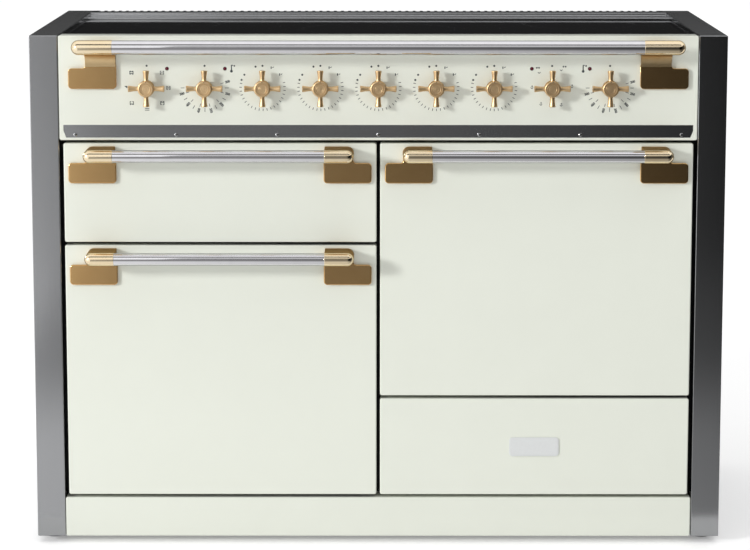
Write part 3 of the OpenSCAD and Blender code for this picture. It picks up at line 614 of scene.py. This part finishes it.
def makeBar(node):
    low, high = boxOf(node)
    y, z = (low.y + high.y) / 2, (low.z + high.z) / 2
    radius, length, cut = (high.z - low.z) / 2, high.x - low.x, bars["chamfer"]
    profile = [(0, 0), (0, radius - cut), (cut, radius), (length - cut, radius), (length, radius - cut),
               (length, 0)]
    bm = bmesh.new()
    turn(bm, profile, (low.x, y, z), (1, 0, 0), 96)
    dress(node, bm)
    return y, z


def barrel(bm, x, y, z, cast, inward):
    # a turned sleeve: its round nose points outwards, its mouth is rolled over the bar
    length, radius, bore = cast["barrel"], cast["radius"], cast["bore"]
    profile = [tuple(point) for point in arc((0, 0), radius, 180, 90, 12)]
    profile += [(length - 0.7, radius), (length - 0.2, radius - 0.12), (length, radius - 0.3), (length, bore),
                (length - bars["plug"], bore), (length - bars["plug"], 0)]
    turn(bm, profile, (x, y, z), (inward, 0, 0), 72, finish=1)


def footPlate(bm, inner, outer, shoulder, top, tabTop):
    # the plate screwed to the enamel: its inner part reaches up behind the arm
    corner, bottom = bars["plateCorner"], top - bars["plateHigh"]
    outline = roundedOutline([(inner, bottom, corner), (outer, bottom, corner), (outer, top, corner),
                              (shoulder, top, bars["innerCorner"]), (shoulder, tabTop, 0),
                              (inner, tabTop, 0)])
    drawOut(bm, outline, "y", frontY, frontY - bars["plateThick"], bars["plateRim"])


def makeRailBrackets(node, barNode):
    low, high = boxOf(node)
    y, z = makeBar(barNode)
    back = frontY - bars["plateThick"]
    radius, top = railCast["radius"], z - railCast["rise"]
    start = top + railCast["lift"]
    sweep = z - radius - start
    over = sweep + railCast["thick"]
    centre = (back - sweep, start)
    meets = start + math.sqrt(over ** 2 - (frontY - centre[0]) ** 2)
    bm = bmesh.new()
    for side, outer in ((-1, low.x), (1, high.x)):
        inner = outer - side * bars["plateWide"]
        barrel(bm, inner + side * (bars["mouthIn"] + railCast["barrel"]), y, z, railCast, -side)
        outline = arc(centre, sweep, 0, 90) + [Vector((y, z - radius))]
        outline += arc((y, z), radius - 0.5, 265, 365, 10)[1:]
        outline += [point for point in arc(centre, over, 90, 30) if point.x < frontY - 0.01]
        outline += [Vector((frontY, meets)), Vector((frontY, top)), Vector((back + bars["tuck"], top))]
        shoulder = inner + side * railCast["arm"]
        drawOut(bm, outline, "x", inner + side, shoulder, bars["armRim"], finish=2)
        footPlate(bm, inner, outer, shoulder, top, start + 3)
    dress(node, bm, [brassGround, brassPaintedHighlight, brassArmShadedEdge])


def makeDoorBrackets(node, barNode):
    low, high = boxOf(node)
    y, z = makeBar(barNode)
    back = frontY - bars["plateThick"]
    half, root, corner = doorCast["radius"] - 0.05, doorCast["root"], doorCast["mouthCorner"]
    under = z - half
    foot = back + bars["tuck"]
    fillet = arc((back - root, under - root), root, 90, 0, 6)
    fillet += [Vector((foot, under - root)), Vector((foot, under + 1)), Vector((back - root, under + 1))]
    bm = bmesh.new()
    for side, outer in ((-1, low.x), (1, high.x)):
        inner = outer - side * bars["plateWide"]
        mouth = inner + side * bars["mouthIn"]
        nose = mouth + side * doorCast["barrel"]
        barrel(bm, nose, y, z, doorCast, -side)
        tip = nose + side * half
        arm = roundedOutline([(mouth, under, corner), (tip, under, half - 0.02), (tip, z + half, half - 0.02),
                              (mouth, z + half, corner)], 16)
        drawOut(bm, arm, "y", y, frontY, finish=2)
        drawOut(bm, fillet, "x", mouth + side, nose, finish=2)
        footPlate(bm, inner, outer, tip - side, z - doorCast["drop"], z - 4)
    dress(node, bm, [brassGround, brassPaintedHighlight, brassArmShadedEdge])


makeRailBrackets("rail_brackets", "rail_tube")
for door in ("grill", "left", "right"):
    makeDoorBrackets(door + "_handle_brackets", door + "_handle_bar")
print("rail, bars and brackets made")


# Knobs: a turned hub with four flared arms

knob = {
    "hubRadius": 14.0,
    "hubDepth": 20.0,
    "collarRadius": 10.0,
    "collarDepth": 26.0,
    "armDepth": 10.0,
    "spindleRadius": 3.0,
    "dotRadius": 0.95,
    "dotPlace": 11.8,
}
# (depth, radius) of the dished face with its turned rings, and (reach, radius) of an arm
knobFace = [(0.5, 0), (0.48, 3.0), (0.62, 3.3), (0.45, 3.6), (0.42, 5.9), (0.62, 6.25), (0.4, 6.6),
            (0.3, 8.6), (0.75, 9.1), (0.75, 9.7), (0.1, 10.3), (0.0, 11.2), (0.05, 12.4), (0.4, 13.3),
            (1.0, 13.8), (1.8, 14.0)]
knobArm = [(8.0, 0), (8.0, 3.9), (13.7, 4.6), (14.8, 4.05), (17.0, 3.95), (20.0, 4.1), (23.5, 4.45),
           (26.5, 4.9), (29.0, 5.3), (30.4, 5.5), (31.0, 5.3), (31.4, 4.7), (31.5, 3.6), (31.45, 0)]
hub, collar, spindle = knob["hubRadius"], knob["collarRadius"], knob["spindleRadius"]
depth, deeper, dot = knob["hubDepth"], knob["collarDepth"], knob["dotRadius"]
for n in range(1, 10):
    node = "knob_%d" % n
    low, high = boxOf(node)
    x, z = (low.x + high.x) / 2, (low.z + high.z) / 2
    length = high.y - low.y
    back = [(depth - 1.0, hub), (depth - 0.3, hub - 0.3), (depth, hub - 1.0), (depth, collar + 0.6),
            (depth + 0.6, collar), (deeper - 0.4, collar), (deeper, collar - 0.4), (deeper, spindle),
            (length - 0.8, spindle), (length, spindle - 0.8), (length, 0)]
    bm = bmesh.new()
    turn(bm, knobFace + back, (x, low.y, z), (0, 1, 0), 64)
    for direction in ((1, 0, 0), (-1, 0, 0), (0, 0, 1), (0, 0, -1)):
        turn(bm, knobArm, (x, low.y + knob["armDepth"], z), direction, 32)
    # the index dot is a near-black disc, flush with the face
    turn(bm, [(0.02, 0), (0.02, dot), (0.3, dot), (0.3, 0)], (x, low.y, z + knob["dotPlace"]), (0, 1, 0), 20,
         finish=1)
    dress(node, bm, [brassKnobShadedEdge, recessShadePaint])
print("knobs made")


# Dial prints on the panel, one for each knob

dial = {
    "ink": 0.05,
    "ring": 38.5,
    "zeroDot": 1.8,
    "digitHeight": 3.9,
    "digitShare": 0.7,  # the figures' height as a share of the font's size
    "digitRing": 41.0,
    "stroke": 1.0,
    "wholeTick": (28.5, 34.0),
    "halfTick": (35.2, 41.8),
    "zoneRing": 39.0,
    "zoneTick": (36.2, 40.4),
    "signRing": 37.5,
    "signStroke": 1.15,
}
prints = bmesh.new()


def place(centre, angle, radius):
    # a point on the panel, by clock angle from the top
    turned = math.radians(angle)
    return centre[0] + radius * math.sin(turned), centre[1] + radius * math.cos(turned)


def inkShape(corners):
    drawOut(prints, corners, "y", frontY, frontY - dial["ink"])


def inkBar(start, end, width):
    # a printed stroke between two points of the panel
    start, end = Vector(start), Vector(end)
    along = (end - start).normalized()
    side = Vector((-along.y, along.x)) * width / 2
    inkShape([start - side, start + side, end + side, end - side])


def inkDot(centre, radius):
    ink = dial["ink"]
    turn(prints, [(0, 0), (0, radius), (ink, radius), (ink, 0)], (centre[0], frontY, centre[1]),
         (0, -1, 0), 16)


def inkTick(centre, angle, reach, width):
    inkBar(place(centre, angle, reach[0]), place(centre, angle, reach[1]), width)


def inkNumber(words, centre, angle, radius):
    # plain figures written along the radius, upright on both sides of the dial
    text = bpy.data.curves.new("figures", "FONT")
    text.body = words
    text.size = dial["digitHeight"] / dial["digitShare"]
    text.align_x = "CENTER"
    text.align_y = "CENTER"
    text.offset = 0.3
    text.extrude = dial["ink"] / 2
    holder = bpy.data.objects.new("figures", text)
    mesh = bpy.data.meshes.new_from_object(holder)
    slope = math.radians(90 - angle if angle < 180 else 270 - angle)
    x, z = place(centre, angle, radius)
    mesh.transform(Matrix.Translation((x, frontY - dial["ink"] / 2, z)) @ Matrix.Rotation(-slope, 4, "Y")
                   @ Matrix.Rotation(math.pi / 2, 4, "X"))
    prints.from_mesh(mesh)
    bpy.data.objects.remove(holder)
    bpy.data.curves.remove(text)
    bpy.data.meshes.remove(mesh)


def temperatureDial(centre):
    for n in range(7):
        angle = 75 + 30 * n
        inkNumber(str(200 + 50 * n), centre, angle, dial["digitRing"])
        inkTick(centre, angle, dial["wholeTick"], dial["stroke"])
        inkTick(centre, angle + 15, dial["halfTick"], dial["stroke"])


def zoneDial(centre):
    for n in range(21):
        inkTick(centre, 76 + 10.3 * n, dial["zoneTick"], dial["signStroke"])
    for angle in (291, 306, 342):
        inkDot(place(centre, angle, dial["zoneRing"]), dial["zeroDot"])
    for angle in (25, 53):
        x, z = place(centre, angle, dial["zoneRing"])
        inkBar((x - 1.4, z - 2.0), (x - 1.4, z + 2.0), 1.8)
        inkBar((x + 0.6, z - 0.2), (x + 3.2, z + 1.4), 1.2)


def functionDial(centre):
    # a ring of little oven signs: a near-closed box with bars that differ
    w, h, stroke = 2.9, 2.6, dial["signStroke"]
    signs = {45: "box fan", 90: "box lines", 135: "box top", 180: "flat", 225: "box bottom", 270: "wedge",
             315: "box top bottom"}
    for angle, parts in signs.items():
        x, z = place(centre, angle, dial["signRing"])
        if "box" in parts:
            for side in (-1, 1):
                inkBar((x + side * w, z - h), (x + side * w, z + h), stroke)
                level = z + side * h
                for end in (-1, 1):
                    inkBar((x + end * (w + stroke / 2), level), (x + end * w * 0.3, level), stroke)
        for side, name in ((1, "top"), (-1, "bottom")):
            if name in parts:
                inkBar((x - w, z + side * (h - 1.1)), (x + w, z + side * (h - 1.1)), stroke)
        if "fan" in parts:
            inkDot((x, z), 1.1)
        if "lines" in parts:
            inkBar((x - w, z), (x + w, z), stroke)
        if "flat" in parts:
            for side in (-1, 1):
                inkBar((x - w - 1, z + side * 1.4), (x + w + 1, z + side * 1.4), stroke)
        if "wedge" in parts:
            inkShape([(x - 2, z + 3.4), (x + 3.6, z + 3.4), (x + 3.6, z - 1.2)])


def grillDial(centre):
    # pairs of dots over a small tray sign
    for angle in (30, 325):
        x, z = place(centre, angle, 43.0)
        for step in (-1.9, 1.9):
            inkDot((x + step, z), 1.5)
    for angle in (27, 320, 87, 152, 213, 270):
        x, z = place(centre, angle, 34.8)
        inkBar((x - 2.2, z + 1.0), (x, z - 1.2), 1.1)
        inkBar((x, z - 1.2), (x + 2.2, z + 1.0), 1.1)
        if 80 < angle < 300:
            inkDot((x + 0.3, z + 3.1), 1.2)


def thermometer(x, z):
    inkBar((x, z - 3.6), (x, z + 6.0), 1.9)
    inkDot((x, z - 4.4), 2.4)
    inkBar((x - 0.6, z + 6.0), (x + 2.8, z + 6.0), 1.5)
    inkDot((x + 5.0, z + 5.0), 1.5)


dialOf = {1: functionDial, 2: temperatureDial, 8: grillDial, 9: temperatureDial}
knobCentres = {}
for n in range(1, 10):
    low, high = boxOf("knob_%d" % n)
    centre = ((low.x + high.x) / 2, (low.z + high.z) / 2)
    knobCentres[n] = centre
    inkDot(place(centre, 0, dial["ring"]), dial["zeroDot"])
    dialOf.get(n, zoneDial)(centre)
lampLow, lampHigh = boxOf("indicator_lamps")
lampZ = (lampLow.z + lampHigh.z) / 2
knobPitch = knobCentres[2][0] - knobCentres[1][0]
lampPlaces = [side * step * knobPitch for side in (-1, 1) for step in (3.65, 2.65)]
thermometer(-2.65 * knobPitch + 11.5, lampZ)
thermometer(3.65 * knobPitch - 11.5, lampZ)
finishPiece("dialPrints", prints, "root", "black_paint", [dialInk])
print("dial prints made")


# Small fittings on the front: lamps, screws and the bare plate on the drawer

lamp = {"radius": 3.1, "collar": 2.0, "chamfer": 0.3}
lens = [(0, 0), (0.12, 1.0), (0.4, 1.9), (0.75, 2.45), (0.95, 2.6), (0.75, 2.75), (0.7, 2.95)]
length = lampHigh.y - lampLow.y
thin, wide = lamp["radius"], lamp["radius"] + lamp["collar"]
body = [(0.9, thin), (4.4, thin), (4.4, wide), (6.4, wide), (6.4, thin), (length - lamp["chamfer"], thin),
        (length, thin - lamp["chamfer"]), (length, 0)]
bm = bmesh.new()
for x in lampPlaces:
    turn(bm, lens + body, (x, lampLow.y, lampZ), (0, 1, 0), 32)
dress("indicator_lamps", bm)

screw = {"count": 7, "radius": 3.4, "shank": 1.9, "recess": 1.7, "slotWidth": 0.7, "slotDepth": 0.6}
head = [(0.1, 0), (0.1, 1.2), (0.25, 2.2), (0.6, 2.95), (1.2, 3.35), (1.9, 3.4)]
low, high = boxOf("panel_screws")
length, z = high.y - low.y, (low.z + high.z) / 2
shank = [(2.0, screw["shank"]), (length - 0.5, screw["shank"]), (length, screw["shank"] - 0.5), (length, 0)]
reach, half, deep = screw["recess"], screw["slotWidth"] / 2, low.y + screw["slotDepth"]
pitch = (high.x - low.x - 2 * screw["radius"]) / (screw["count"] - 1)
bm = bmesh.new()
for n in range(screw["count"]):
    x = low.x + screw["radius"] + n * pitch
    turn(bm, head + shank, (x, low.y, z), (0, 1, 0), 32)
    # the cross recess is drawn as two near-black bars: painted shade
    slab(bm, (x - reach, low.y, z - half), (x + reach, deep, z + half), "y", finish=1)
    slab(bm, (x - half, low.y + 0.01, z - reach), (x + half, deep, z + reach), "y", finish=1)
dress("panel_screws", bm, [steelAcross, recessShadePaint])

badge = {"corner": 6.0, "rim": 0.5, "border": 2.2, "sunk": 0.25, "fieldRim": 0.2}
low, high = boxOf("badge_plate")
inset = badge["border"]
bm = bmesh.new()
slab(bm, low + Vector((0, badge["sunk"], 0)), high, "y", badge["corner"], badge["rim"])
slab(bm, low + Vector((inset, 0, inset)), (high.x - inset, low.y + 1.0, high.z - inset), "y",
     badge["corner"] - inset, badge["fieldRim"])
dress("badge_plate", bm, [badgeMetal])
print("front fittings made")


# Feet: a pad, a threaded stud and two hexagon nuts each

foot = {
    "padRadius": 20.0,
    "stud": 5.0,
    "studFrom": 5.4,
    "thread": 1.5,
    "groove": 0.55,
    "nut": 9.0,
    "nutRim": 0.7,
}
pad = [(0, 0), (0, 18.5), (0.4, 19.4), (1.2, 20.0), (2.8, 20.0), (3.7, 19.2), (4.0, 17.5), (4.6, 10.0),
       (5.2, 6.5)]
low, high = boxOf("levelling_feet")
top, stud, along = high.z, foot["stud"], foot["studFrom"]
profile = pad + [(along, stud)]
while along + foot["thread"] < top - 0.6:
    profile += [(along + foot["thread"] / 2, stud - foot["groove"]), (along + foot["thread"], stud)]
    along += foot["thread"]
profile += [(top, stud - 0.9), (top, 0)]
bm = bmesh.new()
for x in (low.x + foot["padRadius"], high.x - foot["padRadius"]):
    for y in (low.y + foot["padRadius"], high.y - foot["padRadius"]):
        turn(bm, profile, (x, y, 0), (0, 0, 1), 32)
        for start, end in ((5.6, 11.9), (top - 18.0, top - 12.0)):
            hexagon = [Vector((x, y)) + p for p in arc((0, 0), foot["nut"], 0, 300, 5)]
            drawOut(bm, hexagon, "z", start, end, foot["nutRim"])
dress("levelling_feet", bm)


# Oven furniture: wire shelves on their side runners, and the gaskets

mouth = {"side": 53.0, "grill": 35.0, "left": 53.0, "right": 53.0}  # from a door's edges to its cavity
rack = {
    "front": 68.0,  # both behind the doors' faces
    "back": 428.0,
    "sheet": 2.0,
    "postIn": 36.0,
    "postHalf": 6.0,
    "postFoot": 20.0,
    "first": 50.0,
    "pitch": 60.0,
    "ledge": 13.0,
    "ledgeSheet": 1.5,
    "lip": 6.0,
}
shelf = {"frame": 3.5, "wire": 2.5, "corner": 16.0, "pitch": 32.0, "room": 4.0, "lift": 0.3}
frontRack, backRack = frontY + rack["front"], frontY + rack["back"]
bm = bmesh.new()
for oven in ("left", "right"):
    doorLow, doorHigh = boxOf(oven + "_door_skin")
    x = (doorLow.x + doorHigh.x) / 2
    mouthHalf = (doorHigh.x - doorLow.x) / 2 - mouth["side"]
    floorZ, roofZ = doorLow.z + mouth[oven], doorHigh.z - mouth[oven]
    first = floorZ + rack["first"]
    count = int((roofZ - floorZ - 60) / rack["pitch"])  # 60 mm stay free under the roof
    for side in (-1, 1):
        wall = x + side * mouthHalf
        tip = wall - side * rack["ledge"]
        postX = sorted((wall, wall - side * rack["sheet"]))
        ledgeX = sorted((wall, tip))
        lipX = sorted((tip, tip + side * rack["ledgeSheet"]))
        for y in (frontRack + rack["postIn"], backRack - rack["postIn"]):
            slab(bm, (postX[0], y - rack["postHalf"], floorZ + rack["postFoot"]),
                 (postX[1], y + rack["postHalf"], first + rack["pitch"] * count), "x", 2.0, 0.4)
        for n in range(count):
            z = first + rack["pitch"] * n
            slab(bm, (ledgeX[0], frontRack, z - rack["ledgeSheet"]), (ledgeX[1], backRack, z), "z", 2.5, 0.3)
            slab(bm, (lipX[0], frontRack, z - rack["lip"]), (lipX[1], backRack, z - 0.2), "x", 1.5, 0.3)
    inset = shelf["room"] + shelf["frame"]
    half, corner = mouthHalf - inset, shelf["corner"]
    y0, y1 = frontRack + inset, backRack - inset
    for n in (1, 3):
        z = first + shelf["lift"] + rack["pitch"] * n + shelf["frame"]
        loop = roundedOutline([(x - half, y0, corner), (x + half, y0, corner), (x + half, y1, corner),
                               (x - half, y1, corner)], 8)
        tube(bm, [(p.x, p.y, z) for p in loop], shelf["frame"], True, 16)
        wires = int((2 * half - 7) / shelf["pitch"])
        for w in range(wires):
            wx = x + (w - (wires - 1) / 2) * shelf["pitch"]
            tube(bm, [(wx, y0, z), (wx, y1, z)], shelf["wire"])
dress("oven_racks", bm)

seal = {"wide": 4.5, "thick": 3.1, "gap": 2.0, "corner": 7.0}
sealLow, sealHigh = boxOf("oven_seals")
y, corner, out = (sealLow.y + sealHigh.y) / 2, seal["corner"], seal["gap"] + seal["wide"]
bm = bmesh.new()
for oven in ("grill", "left", "right"):
    doorLow, doorHigh = boxOf(oven + "_door_skin")
    x0, x1 = doorLow.x + mouth["side"] - out, doorHigh.x - mouth["side"] + out
    z0, z1 = doorLow.z + mouth[oven] - out, doorHigh.z - mouth[oven] + out
    loop = roundedOutline([(x0, z0, corner), (x1, z0, corner), (x1, z1, corner), (x0, z1, corner)], 8)
    tube(bm, [(p.x, y, p.y) for p in loop], seal["thick"], True, 16)
dress("oven_seals", bm)
print("oven furniture made")


# Back cover with pressed louvre lips

louvre = {"rows": 10, "first": 568.0, "pitch": 22.0, "half": 109.5, "rise": 1.3, "sheet": 0.5}
low, high = boxOf("back_cover")
bm = cadCopy("back_cover")
soften(bm, 0.3)
doorLow, doorHigh = boxOf("left_door_skin")
columnX = -(doorLow.x + doorHigh.x) / 2
inside, outside = high.y - 0.05, high.y + louvre["rise"]
for x in (-columnX, columnX):
    for row in range(louvre["rows"]):
        z = louvre["first"] + louvre["pitch"] * row
        hood = [(inside, z + 2), (high.y + 0.7, z + 1.2), (outside, z - 2), (outside, z - 7),
                (outside - louvre["sheet"], z - 7), (outside - louvre["sheet"], z - 2.2), (inside, z + 0.2)]
        drawOut(bm, hood, "x", x - louvre["half"], x + louvre["half"])
dress("back_cover", bm, recalculate=False)
print("back made")


# Studio

studio = {
    "floorSize": 140.0,
    "floorColour": "#f6f6f6",
    "floorGlow": 0.27,  # lifts the floor to white where the camera sees it
    "domeOverhead": 1.2,  # the dome's light on dull surfaces overhead; it falls to none at the horizon
    "keyEnergy": 760.0,
    "keySize": 1.5,
    "keyPlace": (-9.0, -6.7, 3.4),
}


def addFloor():
    bm = bmesh.new()
    bmesh.ops.create_grid(bm, x_segments=1, y_segments=1, size=studio["floorSize"] / 2)
    mesh = bpy.data.meshes.new("studioFloor")
    bm.to_mesh(mesh)
    bm.free()
    floor = bpy.data.objects.new("studioFloor", mesh)
    bpy.context.scene.collection.objects.link(floor)
    material = bpy.data.materials.new("paleStudioFloor")
    material.use_nodes = True
    tree = material.node_tree
    shader = tree.nodes["Principled BSDF"]
    shader.inputs["Base Color"].default_value = linear(studio["floorColour"])
    shader.inputs["Roughness"].default_value = 0.9
    shader.inputs["Specular IOR Level"].default_value = 0.1
    path = addNode(tree, "LightPath").outputs
    glow = addNode(tree, "Emission", {"Color": (1, 1, 1, 1), "Strength": studio["floorGlow"]})
    both = addNode(tree, "AddShader", {0: shader.outputs[0], 1: glow.outputs[0]})
    seen = addNode(tree, "MixShader", {0: path["Is Camera Ray"], 1: shader.outputs[0], 2: both.outputs[0]})
    tree.links.new(seen.outputs[0], tree.nodes["Material Output"].inputs["Surface"])
    mesh.materials.append(material)


def addCard(name, corners, **fades):
    # a board that only reflections see: it darkens what polished metal and glass mirror;
    # a fade along X, Y or Z is ((place, level), (place, level)), and the levels of all fades multiply
    bm = bmesh.new()
    bm.faces.new([bm.verts.new(corner) for corner in corners])
    mesh = bpy.data.meshes.new(name)
    bm.to_mesh(mesh)
    bm.free()
    card = bpy.data.objects.new(name, mesh)
    bpy.context.scene.collection.objects.link(card)
    material = bpy.data.materials.new(name)
    material.use_nodes = True
    tree = material.node_tree
    tree.nodes.remove(tree.nodes["Principled BSDF"])
    place = addNode(tree, "SeparateXYZ", {"Vector": addNode(tree, "TexCoord").outputs["Object"]}).outputs
    level = 1.0
    for axis, (first, last) in fades.items():
        fade = addNode(tree, "MapRange", {"Value": place[axis], "From Min": first[0], "From Max": last[0],
                                          "To Min": first[1], "To Max": last[1]})
        level = addNode(tree, "Math", {0: fade.outputs["Result"], 1: level}, operation="MULTIPLY").outputs[0]
    glow = addNode(tree, "Emission", {"Color": (1, 1, 1, 1), "Strength": level})
    tree.links.new(glow.outputs[0], tree.nodes["Material Output"].inputs["Surface"])
    mesh.materials.append(material)
    card.visible_camera = False
    card.visible_diffuse = False
    card.visible_shadow = False
    card.visible_transmission = False


def addLight(name, place, target, size, energy):
    data = bpy.data.lights.new(name, "AREA")
    data.shape = "RECTANGLE"
    data.size = size
    data.size_y = size
    data.energy = energy
    light = bpy.data.objects.new(name, data)
    light.location = place
    light.rotation_euler = (Vector(target) - Vector(place)).to_track_quat("-Z", "Y").to_euler()
    bpy.context.scene.collection.objects.link(light)


def setWorld():
    # white to the camera and to mirrors; a soft overhead dome to dull surfaces
    world = bpy.data.worlds.new("studioWorld")
    bpy.context.scene.world = world
    world.use_nodes = True
    tree = world.node_tree
    path = addNode(tree, "LightPath").outputs
    seen = addNode(tree, "Math", {0: path["Is Camera Ray"], 1: path["Is Glossy Ray"]}, operation="MAXIMUM")
    clear = addNode(tree, "Math", {0: seen.outputs[0], 1: path["Is Transmission Ray"]}, operation="MAXIMUM")
    toSky = addNode(tree, "SeparateXYZ", {"Vector": addNode(tree, "TexCoord").outputs["Generated"]})
    dome = addNode(tree, "MapRange", {"Value": toSky.outputs["Z"], "To Min": 0.0,
                                      "To Max": studio["domeOverhead"]})
    level = addNode(tree, "Mix", {0: clear.outputs[0], 2: dome.outputs["Result"], 3: 1.0})
    shader = tree.nodes["Background"]
    tree.links.new(level.outputs[0], shader.inputs["Strength"])
    shader.inputs["Color"].default_value = (1, 1, 1, 1)


addFloor()
setWorld()
addLight("keySoftbox", studio["keyPlace"], (0, 0, 0.5), studio["keySize"], studio["keyEnergy"])

# the boards before the cooker stand in one plane, from their left seam to their right end
plane, seam, end = -3.2, -0.87, 3.6
addCard("leftCard", [(-1.15, plane, 0), (seam, plane, 0), (seam, plane, 0.85), (-1.15, plane, 0.7)],
        Z=((0.1, 0.74), (0.7, 0.52)))
addCard("leftBlend", [(seam, plane, 0), (-0.8, plane, 0), (-0.8, plane, 0.9), (seam, plane, 0.85)],
        X=((seam, 0.56), (-0.8, 0.32)))
addCard("frontCard", [(-0.8, plane, 0), (end, plane, 0), (end, plane, 2.6), (0.9, plane, 1.6),
                      (0, plane, 1.4), (-0.8, plane, 0.9)],
        X=((-0.8, 0.32), (1.2, 0.0)), Z=((0.5, 1.0), (1.1, 0.6)))
addCard("upperCard", [(-0.6, plane, 1.05), (0, plane, 1.4), (0.9, plane, 1.6), (end, plane, 2.6),
                      (end, plane, 3.6), (-0.6, plane, 2.9)], Z=((1.3, 0.35), (2.9, 0.65)))
addCard("floorCard", [(seam, plane, 0.01), (end, plane, 0.01), (end, -0.42, 0.01), (seam, -0.42, 0.01)],
        X=((seam, 1.0), (1.2, 0.1)), Y=((-1.86, 0.38), (-1.12, 0.98)))
addCard("rightCard", [(end, plane, 0), (end, 1, 0), (end, 1, 2.6), (end, plane, 2.6)],
        Y=((plane, 0.0), (1.0, 0.12)))
addCard("backCard", [(-5, 3, 0.9), (5, 3, 0.9), (5, 3, 5.6), (-5, 3, 5.6)], Z=((1.4, 0.02), (2.6, 0.8)))
addCard("overheadCard", [(-3, -3.05, 3.39), (3, -3.05, 3.39), (3, -1.8, 3.39), (-3, -1.8, 3.39)],
        X=((-3, 0.02), (3, 0.02)))

view = {"place": (-0.001, -4.968, 1.282), "pitch": 8.69, "yaw": 0.06, "roll": -0.016, "shift": -0.06,
        "focus": 2711, "across": 750, "sensor": 36}  # focus and across in pixels
camera = bpy.data.cameras.new("photoCamera")
camera.sensor_width = view["sensor"]
camera.lens = view["focus"] / view["across"] * camera.sensor_width
camera.shift_y = view["shift"]
camera.clip_end = 300
eye = bpy.data.objects.new("photoCamera", camera)
eye.location = view["place"]
eye.rotation_euler = (math.radians(90 - view["pitch"]), math.radians(view["roll"]), math.radians(view["yaw"]))
bpy.context.scene.collection.objects.link(eye)
bpy.context.scene.camera = eye
bpy.context.scene.view_settings.view_transform = "Standard"
print("studio made")
